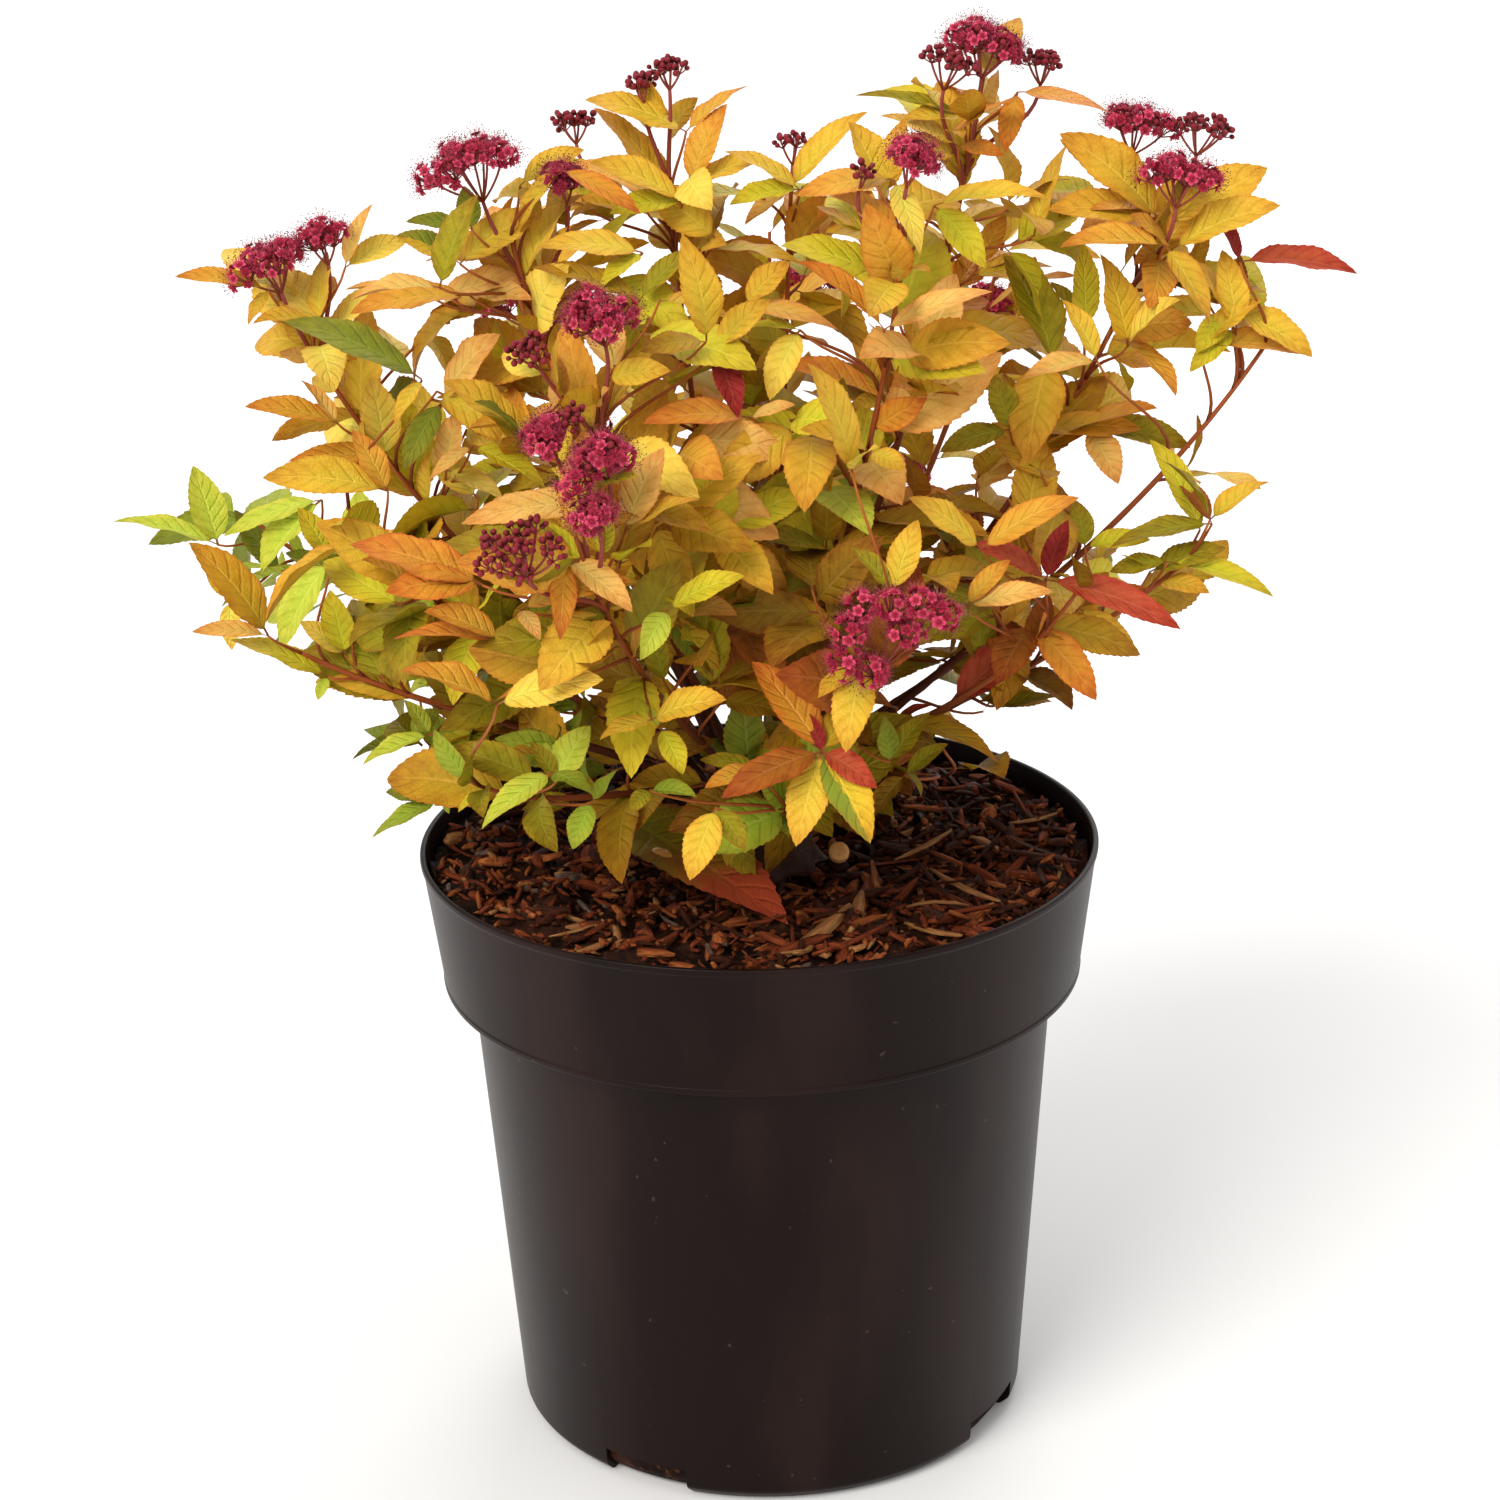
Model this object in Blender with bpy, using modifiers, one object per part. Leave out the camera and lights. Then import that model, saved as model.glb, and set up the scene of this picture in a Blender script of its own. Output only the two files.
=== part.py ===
"""A golden-leaved spirea shrub growing in a round nursery pot.

Units are metres, +Z is up and the front faces -Y. The origin is the centre of the pot's flat
underside. The pot is a turned shell filled with potting mix. A short woody crown sits on the
mix, and tapering stems fan out from it and end where they enter the foliage. Each mass of
foliage is one uneven closed solid of its own, parted by a thin gap from the masses beside it.
"""

import math
from typing import NamedTuple

import bmesh
import bpy
from mathutils import Matrix, Vector, noise
from mathutils.bvhtree import BVHTree

MM = 0.001
GAP = 0.3 * MM

# Pot
RIM_RADIUS = 95 * MM
POT_HEIGHT = 171 * MM
WALL = 1.5 * MM
COLLAR_HEIGHT = 38 * MM
COLLAR_FOOT_RADIUS = 0.949 * RIM_RADIUS
BODY_TOP_RADIUS = 0.867 * RIM_RADIUS
BODY_FOOT_RADIUS = 0.767 * RIM_RADIUS
FOOT_CHAMFER = 3 * MM
POT_SEGMENTS = 48
NOTCH_WIDTH = 26 * MM
NOTCH_HEIGHT = 8.5 * MM
NOTCH_DEPTH = 13 * MM
NOTCH_COUNT = 4
FIRST_NOTCH_BEARING = 240.0

# Potting mix
MIX_TOP = 164 * MM

# Woody crown that the stems grow from, and the old cut stub beside it
CROWN_FLARE_RADIUS = 19 * MM
CROWN_NECK_RADIUS = 14.5 * MM
CROWN_HEIGHT = 11 * MM
STUB_PLACE = (22 * MM, -9 * MM)
STUB_RADIUS = 2.7 * MM
STUB_HEIGHT = 9 * MM
STUB_LEAN = 28.0

# Stems
STEM_FOOT_RADIUS = 2.0 * MM
STEM_TIP_RADIUS = 0.9 * MM
STEM_POINTS = 9
OUTER_RING = 11.2 * MM
INNER_RING = 5.6 * MM
INNER_REACH = 75 * MM
UPRIGHT_START = 26 * MM
BOW_REACH = 0.66
BOW_HEIGHT = 0.42

# Foliage masses
PAST_TIP = 13 * MM
BLUNTNESS = 2.7
LUMP = 0.15
LUMP_SCALE = 1.7
MASS_SEGMENTS = 10
MASS_RINGS = 8
LOWEST_LEAF = POT_HEIGHT + 1.5 * MM


class Shoot(NamedTuple):
    """A leafy shoot. Sizes are in millimetres, and bearing runs anticlockwise from +X in degrees.

    Its leaves start at the share leafy_from of the way along its stem.
    """

    name: str
    bearing: float
    reach: float
    height: float
    width: float
    leafy_from: float = 0.5
    has_stem: bool = True


# The shoots that stand at the front and the sides, from the tallest down
SHOOTS = [
    Shoot("top", 17, 68, 380, 66),
    Shoot("top_back", 125, 37, 373, 58),
    Shoot("middle_top", 67, 33, 352, 58),
    Shoot("front_top", 316, 58, 355, 58),
    Shoot("left_top", 182, 66, 364, 62),
    Shoot("right_top", 12, 122, 353, 66),
    Shoot("far_left_top", 179, 126, 332, 56),
    Shoot("far_right_top", 1, 149, 324, 36, 0.62),
    Shoot("front_left_top", 236, 74, 322, 62),
    Shoot("front_left", 247, 110, 290, 60),
    Shoot("left_middle", 196, 116, 288, 58, 0.56),
    Shoot("front_right", 291, 98, 264, 60, 0.56),
    Shoot("right_middle", 354, 134, 270, 42, 0.62),
    Shoot("front_right_middle", 327, 100, 258, 54, 0.6),
    Shoot("left_low", 187, 148, 251, 42, 0.6),
    Shoot("far_left_spray", 158, 170, 262, 42, 0.66),
    Shoot("front_left_low", 222, 100, 214, 58, 0.54),
    Shoot("front_low", 276, 72, 206, 56, 0.5, False),
    Shoot("right_foot", 333, 74, 204, 38, 0.6, False),
    Shoot("left_foot", 178, 96, 200, 42, 0.6, False),
]

# The shoots behind, which fill the crown's far side in two tiers
BACK_UPPER = [("back_right", 48), ("back", 86), ("back_left", 128)]
BACK_UPPER_SIZE = (112, 320, 70)
BACK_LOWER = [("back_right_low", 26), ("back_low", 72), ("back_left_low", 116)]
BACK_LOWER_SIZE = (122, 248, 66, 0.56)


def all_shoots():
    """Every shoot, front ones first."""
    behind = [Shoot(name, bearing, *BACK_UPPER_SIZE) for name, bearing in BACK_UPPER]
    behind += [Shoot(name, bearing, *BACK_LOWER_SIZE) for name, bearing in BACK_LOWER]
    return SHOOTS + behind


def around(bearing, radius, height):
    """The point at a bearing in degrees and a radius from the pot's axis."""
    angle = math.radians(bearing)
    return Vector((radius * math.cos(angle), radius * math.sin(angle), height))


def feet_of(shoots):
    """Where each stem leaves the woody crown: steep shoots on an inner ring, the others on an outer one."""
    top = MIX_TOP + CROWN_HEIGHT + 2 * GAP
    feet = {}
    for is_inner, radius in ((True, INNER_RING), (False, OUTER_RING)):
        ring = [s for s in shoots if (s.reach * MM < INNER_REACH) == is_inner]
        ring.sort(key=lambda shoot: shoot.bearing)
        step = 360 / len(ring)
        start = sum(s.bearing - i * step for i, s in enumerate(ring)) / len(ring)
        for place, shoot in enumerate(ring):
            feet[shoot.name] = around(start + place * step, radius, top)
    return feet


def tip_of(shoot):
    """The top end of a shoot's stem."""
    return around(shoot.bearing, shoot.reach * MM, shoot.height * MM)


def route_point(foot, tip, share):
    """A point on a cubic curve that leaves its foot upright and bows outwards to its tip."""
    upright = foot + Vector((0, 0, UPRIGHT_START))
    bow = foot.lerp(tip, BOW_REACH)
    bow.z = foot.z + (tip.z - foot.z) * BOW_HEIGHT
    left = 1 - share
    return (
        left**3 * foot
        + 3 * left**2 * share * upright
        + 3 * left * share**2 * bow
        + share**3 * tip
    )


def material(name, color, roughness, metallic=0.0):
    """A Principled material of one plain colour."""
    made = bpy.data.materials.new(name)
    made.use_nodes = True
    shader = made.node_tree.nodes["Principled BSDF"]
    shader.inputs["Base Color"].default_value = (*color, 1)
    shader.inputs["Roughness"].default_value = roughness
    shader.inputs["Metallic"].default_value = metallic
    return made


def new_object(name, mesh, collection, finish=None):
    """An object for a mesh, in a collection, with its material."""
    obj = bpy.data.objects.new(name, mesh)
    collection.objects.link(obj)
    if finish:
        mesh.materials.append(finish)
    return obj


def turned(name, profile, collection, finish):
    """A turned solid: a profile of (radius, height) points from axis to axis, carried round by a Screw."""
    mesh = bpy.data.meshes.new(name)
    points = [(radius, 0, height) for radius, height in profile]
    edges = [(i, i + 1) for i in range(len(points) - 1)]
    mesh.from_pydata(points, edges, [])
    obj = new_object(name, mesh, collection, finish)
    screw = obj.modifiers.new("turn", "SCREW")
    screw.steps = POT_SEGMENTS
    screw.render_steps = POT_SEGMENTS
    screw.use_merge_vertices = True
    screw.merge_threshold = 0.01 * MM
    screw.use_smooth_shade = True
    return obj


def pot_outline(inset):
    """The pot's outer wall from rim to foot as (radius, height) points, moved inwards by inset."""
    collar_foot = POT_HEIGHT - COLLAR_HEIGHT
    return [
        (RIM_RADIUS - inset, POT_HEIGHT),
        (COLLAR_FOOT_RADIUS - inset, collar_foot + inset),
        (BODY_TOP_RADIUS - inset, collar_foot + inset),
        (BODY_FOOT_RADIUS + 0.2 * MM - inset, FOOT_CHAMFER + inset),
        (BODY_FOOT_RADIUS - FOOT_CHAMFER - inset * 0.4, inset),
    ]


def make_pot(collection, cutters):
    """The thin-walled pot: a wide collar, a tapering body and a flat foot with drain notches in its edge."""
    inside = [(0, WALL)] + pot_outline(WALL)[::-1]
    outside = pot_outline(0) + [(0, 0)]
    pot = turned("pot", inside + outside, collection, material("pot_plastic", (0.012, 0.012, 0.012), 0.42))
    for index in range(NOTCH_COUNT):
        bearing = FIRST_NOTCH_BEARING + index * 360 / NOTCH_COUNT
        mesh = bpy.data.meshes.new(f"notch_{index + 1}")
        shape = bmesh.new()
        size = Vector((2 * NOTCH_DEPTH, NOTCH_WIDTH, 2 * NOTCH_HEIGHT))
        bmesh.ops.create_cube(shape, size=1, matrix=Matrix.Diagonal((*size, 1)))
        shape.to_mesh(mesh)
        shape.free()
        cutter = new_object(mesh.name, mesh, cutters)
        cutter.location = around(bearing, BODY_FOOT_RADIUS, 0)
        cutter.rotation_euler.z = math.radians(bearing)
        cutter.hide_render = True
        cutter.display_type = "WIRE"
        cut = pot.modifiers.new(cutter.name, "BOOLEAN")
        cut.operation = "DIFFERENCE"
        cut.object = cutter


def make_mix(collection):
    """The potting mix: it fills the pot to a little under the rim, with a thin gap to the wall."""
    wall = pot_outline(WALL + GAP)
    rim, collar_foot = wall[0], wall[1]
    share = (MIX_TOP - collar_foot[1]) / (rim[1] - collar_foot[1])
    top_radius = collar_foot[0] + share * (rim[0] - collar_foot[0])
    profile = [(0, MIX_TOP), (top_radius, MIX_TOP)] + wall[1:] + [(0, WALL + GAP)]
    turned("potting_mix", profile, collection, material("bark_mulch", (0.09, 0.03, 0.015), 0.9))


def make_crown(collection, wood):
    """The woody crown: a flat cut at the mix's surface, a flare, a neck and a flat top."""
    foot = MIX_TOP + GAP
    top = MIX_TOP + CROWN_HEIGHT
    profile = [(0, top), (CROWN_NECK_RADIUS - 1.5 * MM, top), (CROWN_NECK_RADIUS, top - 2 * MM)]
    for step in range(1, 5):
        turn = math.radians(90 * step / 4)
        radius = CROWN_FLARE_RADIUS - (CROWN_FLARE_RADIUS - CROWN_NECK_RADIUS) * math.cos(turn)
        height = foot + (top - 2 * MM - foot) * (1 - math.sin(turn))
        profile.append((radius, height))
    profile.append((0, foot))
    crown = turned("woody_crown", profile, collection, wood)
    crown.modifiers["turn"].steps = POT_SEGMENTS // 3
    crown.modifiers["turn"].render_steps = POT_SEGMENTS // 3


def make_stub(collection, wood):
    """An old shoot cut short: a stub with a flat foot and a slanting cut on top, beside the crown."""
    mesh = bpy.data.meshes.new("cut_stub")
    shape = bmesh.new()
    bmesh.ops.create_cone(
        shape,
        cap_ends=True,
        segments=12,
        radius1=STUB_RADIUS * 1.25,
        radius2=STUB_RADIUS,
        depth=STUB_HEIGHT,
    )
    slope = math.tan(math.radians(STUB_LEAN))
    for vertex in shape.verts:
        if vertex.co.z > 0:
            vertex.co.z += vertex.co.y * slope
    shape.to_mesh(mesh)
    shape.free()
    stub = new_object("cut_stub", mesh, collection, wood)
    stub.location = (*STUB_PLACE, MIX_TOP + GAP + STUB_HEIGHT / 2)


class Egg(NamedTuple):
    """The even shape that a mass starts from: a centre, a long axis, a half length and a half width."""

    centre: Vector
    axis: Vector
    half_length: float
    half_width: float

    def extent(self, way):
        """How far the egg's surface lies from its centre in a direction."""
        along = abs(way.dot(self.axis))
        across = math.sqrt(max(0.0, 1 - along**2))
        lengthwise = (along / self.half_length) ** BLUNTNESS
        sideways = (across / self.half_width) ** BLUNTNESS
        return (lengthwise + sideways) ** (-1 / BLUNTNESS)


def egg_of(shoot, foot):
    """The egg round the leafy part of a shoot."""
    tip = tip_of(shoot)
    start = route_point(foot, tip, shoot.leafy_from)
    end = tip + (tip - route_point(foot, tip, 0.9)).normalized() * PAST_TIP
    return Egg((start + end) / 2, (end - start).normalized(), (end - start).length / 2, shoot.width * MM / 2)


def reach_of_mass(own, others, way, seed):
    """How far a mass reaches in a direction: its lumpy egg, held back by its neighbours and the pot."""
    lump = noise.noise(way * LUMP_SCALE + Vector((seed * 7.3, seed * 3.1, seed * 5.7)))
    reach = own.extent(way) * (1 + 2 * LUMP * lump)
    if way.z < 0:
        reach = min(reach, (own.centre.z - LOWEST_LEAF) / -way.z)
    for other in others:
        between = other.centre - own.centre
        towards = between.normalized()
        facing = way.dot(towards)
        if facing <= 0:
            continue
        mine = own.extent(towards)
        theirs = other.extent(towards)
        parting = between.length * mine / (mine + theirs) - GAP / 2
        reach = min(reach, parting / facing)
    return reach


def make_mass(name, own, others, seed, collection, finish):
    """One mass of foliage: a ball whose points are moved out to the mass's reach in their direction."""
    mesh = bpy.data.meshes.new(name)
    shape = bmesh.new()
    bmesh.ops.create_uvsphere(shape, u_segments=MASS_SEGMENTS, v_segments=MASS_RINGS, radius=1)
    turn = Vector((0, 0, 1)).rotation_difference(own.axis)
    for vertex in shape.verts:
        way = (turn @ vertex.co).normalized()
        vertex.co = own.centre + way * reach_of_mass(own, others, way, seed)
    shape.to_mesh(mesh)
    shape.free()
    mesh.shade_smooth()
    return new_object(name, mesh, collection, finish)


def ring_round(point, way, radius):
    """Eight points on a circle round a point, square to a direction."""
    side = way.orthogonal().normalized()
    other = way.cross(side).normalized()
    turns = [math.radians(45 * i) for i in range(8)]
    return [point + (side * math.cos(a) + other * math.sin(a)) * radius for a in turns]


def stem_end(foot, tip, trees):
    """The share of a route where its stem first comes within the gap of a mass."""
    steps = 800
    for step in range(1, steps):
        share = step / steps
        point = route_point(foot, tip, share)
        way = (route_point(foot, tip, share + 1 / steps) - point).normalized()
        probes = [point] + ring_round(point, way, stem_radius(share))
        nearest = min(tree.find_nearest(probe)[3] for probe in probes for tree in trees)
        if nearest < 1.5 * GAP:
            return share
    return 1.0


def stem_radius(share):
    """A stem's radius at a share of its route, tapering evenly."""
    return STEM_FOOT_RADIUS + (STEM_TIP_RADIUS - STEM_FOOT_RADIUS) * share


def make_stem(name, foot, tip, trees, collection, wood):
    """One tapering stem, from a flat cut on the crown to where it meets the foliage."""
    end = stem_end(foot, tip, trees)
    data = bpy.data.curves.new(name, "CURVE")
    data.dimensions = "3D"
    data.bevel_depth = 1.0
    data.bevel_resolution = 2
    data.use_fill_caps = True
    spline = data.splines.new("POLY")
    spline.points.add(STEM_POINTS - 1)
    for index, point in enumerate(spline.points):
        share = end * index / (STEM_POINTS - 1)
        point.co = (*route_point(foot, tip, share), 1)
        point.radius = stem_radius(share)
    stem = bpy.data.objects.new(name, data)
    data.materials.append(wood)
    collection.objects.link(stem)


def main():
    for old in list(bpy.data.objects):
        bpy.data.objects.remove(old, do_unlink=True)
    parts = bpy.data.collections.new("spirea_shrub")
    cutters = bpy.data.collections.new("cutters")
    bpy.context.scene.collection.children.link(parts)
    bpy.context.scene.collection.children.link(cutters)
    wood = material("shrub_bark", (0.16, 0.06, 0.035), 0.75)
    leaf = material("foliage", (0.62, 0.33, 0.04), 0.6)

    make_pot(parts, cutters)
    make_mix(parts)
    make_crown(parts, wood)
    make_stub(parts, wood)

    shoots = all_shoots()
    feet = feet_of([shoot for shoot in shoots if shoot.has_stem])
    start = Vector((0, 0, MIX_TOP + CROWN_HEIGHT))
    eggs = {shoot.name: egg_of(shoot, feet.get(shoot.name, start)) for shoot in shoots}
    trees = []
    for seed, (name, egg) in enumerate(eggs.items()):
        others = [other for key, other in eggs.items() if key != name]
        mass = make_mass(f"foliage_{name}", egg, others, seed, parts, leaf)
        shape = bmesh.new()
        shape.from_mesh(mass.data)
        trees.append(BVHTree.FromBMesh(shape))
        shape.free()
    for shoot in shoots:
        if shoot.has_stem:
            make_stem(f"stem_{shoot.name}", feet[shoot.name], tip_of(shoot), trees, parts, wood)


main()
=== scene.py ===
"""The looks of a golden-leaved spirea shrub in a round nursery pot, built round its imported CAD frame.

Everything is in metres, +Z is up, the front faces -Y and the origin is the centre of the pot's flat
underside. A surface is worked out with numpy as whole arrays, and each function's docstring gives
its formula in words. Stems follow the CAD's own routes. Twigs and leaves grow on from them by a
seeded rule, and the flower heads and a few sprays of leaves stand where the photograph shows them.
"""

import logging
import math
from dataclasses import dataclass, field, fields
from enum import Enum
from typing import Self

import bpy
import numpy as np
from mathutils import Matrix, Vector


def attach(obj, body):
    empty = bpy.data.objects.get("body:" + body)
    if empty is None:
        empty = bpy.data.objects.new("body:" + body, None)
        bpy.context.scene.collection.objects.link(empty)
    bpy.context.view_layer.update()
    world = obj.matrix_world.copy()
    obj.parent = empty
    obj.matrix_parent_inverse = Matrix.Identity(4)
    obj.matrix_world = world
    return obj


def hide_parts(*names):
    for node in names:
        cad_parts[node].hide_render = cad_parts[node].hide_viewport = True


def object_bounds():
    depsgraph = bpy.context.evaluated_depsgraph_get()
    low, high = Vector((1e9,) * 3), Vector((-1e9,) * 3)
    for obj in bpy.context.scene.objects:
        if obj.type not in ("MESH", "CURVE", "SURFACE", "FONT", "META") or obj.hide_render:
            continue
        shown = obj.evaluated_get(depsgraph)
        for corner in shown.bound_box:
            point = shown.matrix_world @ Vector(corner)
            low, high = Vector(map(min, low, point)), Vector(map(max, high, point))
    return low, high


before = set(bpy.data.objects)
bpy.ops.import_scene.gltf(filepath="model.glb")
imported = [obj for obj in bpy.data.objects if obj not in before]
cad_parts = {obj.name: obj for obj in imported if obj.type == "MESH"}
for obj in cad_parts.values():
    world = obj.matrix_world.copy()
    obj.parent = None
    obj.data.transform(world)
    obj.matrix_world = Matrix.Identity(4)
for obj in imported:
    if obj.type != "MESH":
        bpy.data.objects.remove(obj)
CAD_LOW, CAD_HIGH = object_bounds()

LOG = logging.getLogger("spirea")

MM = 0.001
GAP = 0.3 * MM
UP = np.array([0.0, 0.0, 1.0])
GOLDEN_TURN = math.radians(137.508)
PATTERN_MAP = "OFBake"

Colour = tuple[float, float, float]
Pixel = tuple[float, float]


# Arrays of vectors


def unit(vectors: np.ndarray) -> np.ndarray:
    """Each vector divided by its own length."""
    return vectors / np.maximum(np.linalg.norm(vectors, axis=-1, keepdims=True), 1e-12)


def square_to(vectors: np.ndarray, ways: np.ndarray) -> np.ndarray:
    """The part of each vector that is square to its way, as a unit vector."""
    return unit(vectors - (vectors * ways).sum(axis=-1, keepdims=True) * ways)


def sides_of(ways: np.ndarray) -> tuple[np.ndarray, np.ndarray]:
    """Two unit vectors square to each way and to each other, so that side x other = way."""
    side = square_to(np.where(np.abs(ways[..., 2:]) > 0.8, np.array([1.0, 0.0, 0.0]), UP), ways)
    return side, np.cross(ways, side)


def circle(count: int) -> np.ndarray:
    """Even turns round a full circle, from nought."""
    return np.arange(count) * 2 * math.pi / count


def swung(turns: np.ndarray, side: np.ndarray, other: np.ndarray) -> np.ndarray:
    """The direction at each turn from one axis towards another: cos(turn) side + sin(turn) other."""
    return np.cos(turns)[..., None] * side + np.sin(turns)[..., None] * other


def outward(points: np.ndarray, nudge: float = 0.0) -> np.ndarray:
    """The level direction away from the pot's axis at each point, where a nudge keeps it from nought."""
    return unit(points * [1, 1, 0] + nudge)


def around(bearing: float, radius: float, height: float) -> np.ndarray:
    """The point at a bearing in degrees from +X, a radius from the pot's axis and a height."""
    angle = math.radians(bearing)
    return np.array([radius * math.cos(angle), radius * math.sin(angle), height])


def facing(places: np.ndarray, bearing: float) -> np.ndarray:
    """The cosine of the angle between each place's own bearing and one in degrees."""
    return np.cos(np.arctan2(places[..., 1], places[..., 0]) - math.radians(bearing))


def eased(value: np.ndarray, start: float, end: float) -> np.ndarray:
    """Nought up to start, one from end, and the curve 3t^2 - 2t^3 in between."""
    share = np.clip((value - start) / (end - start), 0, 1)
    return share * share * (3 - 2 * share)


def bowed(start: np.ndarray, bow: np.ndarray, ends: np.ndarray, steps: int) -> np.ndarray:
    """Quadratic curves (1 - s)^2 start + 2 s (1 - s) bow + s^2 end, one a row of bows and ends."""
    s = np.linspace(0, 1, steps)[:, None]
    return (1 - s) ** 2 * start + 2 * s * (1 - s) * bow[:, None] + s**2 * ends[:, None]


# Surfaces


@dataclass
class Shell:
    """A surface: points, faces of up to four corners, and a place on the pattern map for each corner.

    A triangle's fourth corner is -1.
    """

    points: np.ndarray
    faces: np.ndarray
    places: np.ndarray


class Rows:
    """The base of a dataclass of arrays that each hold one row an item."""

    def picked(self, keep: np.ndarray) -> Self:
        """Only the items that keep marks."""
        return type(self)(*(getattr(self, item.name)[keep] for item in fields(self)))

    @classmethod
    def together(cls, batches: list[Self]) -> Self:
        """Several batches as one."""
        return cls(*(np.concatenate([getattr(b, item.name) for b in batches]) for item in fields(cls)))


def with_places(points: np.ndarray, faces: np.ndarray, point_places: np.ndarray) -> Shell:
    """A shell whose corners take their places from their points."""
    return Shell(points, faces, point_places[np.maximum(faces, 0)])


def joined(shells: list[Shell]) -> Shell:
    """Several shells as one, with the later ones' point numbers moved on.

    Args:
        shells: The shells, at least one.

    Returns:
        The joined shell.
    """
    starts = np.cumsum([0] + [len(shell.points) for shell in shells[:-1]])
    faces = [np.where(s.faces >= 0, s.faces + start, -1) for s, start in zip(shells, starts)]
    points = np.concatenate([shell.points for shell in shells])
    return Shell(points, np.concatenate(faces), np.concatenate([shell.places for shell in shells]))


def spread(template: Shell, points: np.ndarray) -> Shell:
    """Many copies of a shell's faces over points already worked out.

    Args:
        template: The shell whose faces and places are copied.
        points: The points of each copy, as an array of copies x points x 3.

    Returns:
        The copies as one shell.
    """
    count, step = points.shape[:2]
    shift = (np.arange(count) * step)[:, None, None]
    faces = np.where(template.faces >= 0, template.faces + shift, -1)
    places = np.broadcast_to(template.places, (count, *template.places.shape))
    return Shell(points.reshape(-1, 3), faces.reshape(-1, 4), places.reshape(-1, 4, 2))


def copies(template: Shell, origins: np.ndarray, frames: np.ndarray, sizes: np.ndarray) -> Shell:
    """Many copies of a small shell: point = origin + size x (template point turned into the frame)."""
    turned_points = np.einsum("sk,nkj->nsj", template.points, frames)
    return spread(template, origins[:, None] + sizes[:, None, None] * turned_points)


def cells(rows: int, columns: int) -> tuple[np.ndarray, np.ndarray]:
    """The row and the column of every cell of a grid."""
    i, j = np.meshgrid(np.arange(rows), np.arange(columns), indexing="ij")
    return i.ravel(), j.ravel()


def tube_faces(steps: int, sides: int) -> tuple[np.ndarray, np.ndarray]:
    """The faces and places of a tube of rings that is closed by a pole at either end.

    Ring i's points are numbered i x sides + j, and the two poles come last. The first number of a
    place runs round the tube, and the second along it.

    Args:
        steps: How many rings.
        sides: How many points each ring has.

    Returns:
        The faces, and the places of their corners.
    """
    cap = 0.02
    i, j = cells(steps - 1, sides)
    right = (j + 1) % sides
    walls = np.stack([i * sides + j, i * sides + right, (i + 1) * sides + right, (i + 1) * sides + j], 1)
    along = cap + (1 - 2 * cap) * np.arange(steps) / (steps - 1)
    wall_u = np.stack([j, j + 1, j + 1, j], 1) / sides
    wall_v = np.stack([along[i], along[i], along[i + 1], along[i + 1]], 1)
    k = np.arange(sides)
    after = (k + 1) % sides
    gone = np.full(sides, -1)
    last = (steps - 1) * sides
    foot_cap = np.stack([np.full(sides, steps * sides), after, k, gone], 1)
    tip_cap = np.stack([np.full(sides, steps * sides + 1), last + k, last + after, gone], 1)
    middle = (k + 0.5) / sides
    foot_u = np.stack([middle, (k + 1) / sides, k / sides, middle], 1)
    tip_u = np.stack([middle, k / sides, (k + 1) / sides, middle], 1)
    foot_v = np.tile([0, cap, cap, 0], (sides, 1))
    u = np.concatenate([wall_u, foot_u, tip_u])
    v = np.concatenate([wall_v, foot_v, 1 - foot_v])
    return np.concatenate([walls, foot_cap, tip_cap]), np.stack([u, v], -1)


def tubes(paths: np.ndarray, radii: np.ndarray, sides: int) -> Shell:
    """Round tubes along many paths at once, each closed at both ends.

    A point is path + radius x (cos(turn) x side + sin(turn) x other), where side and other are
    square to the path's way there.

    Args:
        paths: The paths' points, as an array of paths x steps x 3.
        radii: A radius for each step, or for each step and side.
        sides: How many points go round a tube.

    Returns:
        The tubes as one shell.
    """
    ways = unit(np.gradient(paths, axis=1))
    first, _ = sides_of(unit(paths[:, -1] - paths[:, 0]))
    side = square_to(first[:, None], ways)
    ring = swung(circle(sides), side[:, :, None], np.cross(ways, side)[:, :, None])
    if radii.ndim == 2:
        radii = radii[:, :, None]
    walls = paths[:, :, None] + radii[..., None] * ring
    points = np.concatenate([walls.reshape(len(paths), -1, 3), paths[:, :1], paths[:, -1:]], axis=1)
    return spread(Shell(points[0], *tube_faces(paths.shape[1], sides)), points)


def turned(profile: np.ndarray, sides: int) -> Shell:
    """A solid of revolution: each profile point (radius, height) is carried round the Z axis.

    Args:
        profile: The outline's points from the bottom of the outside round to the axis again, the
            first and last of them on the axis.
        sides: How many steps the turn has.

    Returns:
        The closed solid.
    """
    rings = profile[1:-1]
    x = rings[:, :1] * np.cos(circle(sides))
    y = rings[:, :1] * np.sin(circle(sides))
    walls = np.stack([x, y, np.broadcast_to(rings[:, 1:], x.shape)], -1).reshape(-1, 3)
    poles = np.array([[0, 0, profile[0, 1]], [0, 0, profile[-1, 1]]])
    return Shell(np.concatenate([walls, poles]), *tube_faces(len(rings), sides))


def rounded(corners: list[tuple[float, float, float]], arc_steps: int = 5) -> np.ndarray:
    """A profile with its corners rounded, each by a quadratic curve that starts and ends at its radius.

    Args:
        corners: Points of (radius, height, rounding), where a rounding of nought leaves one sharp.
        arc_steps: How many points stand for a rounded corner.

    Returns:
        The profile's points, one row each.
    """
    marks = np.array([corner[:2] for corner in corners])
    found = [marks[:1]]
    for before, here, after, (_, _, rounding) in zip(marks, marks[1:], marks[2:], corners[1:]):
        start = here + unit(before - here) * rounding
        end = here + unit(after - here) * rounding
        found.append(bowed(start, here[None], end[None], arc_steps)[0] if rounding else here[None])
    return np.concatenate(found + [marks[-1:]])


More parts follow.
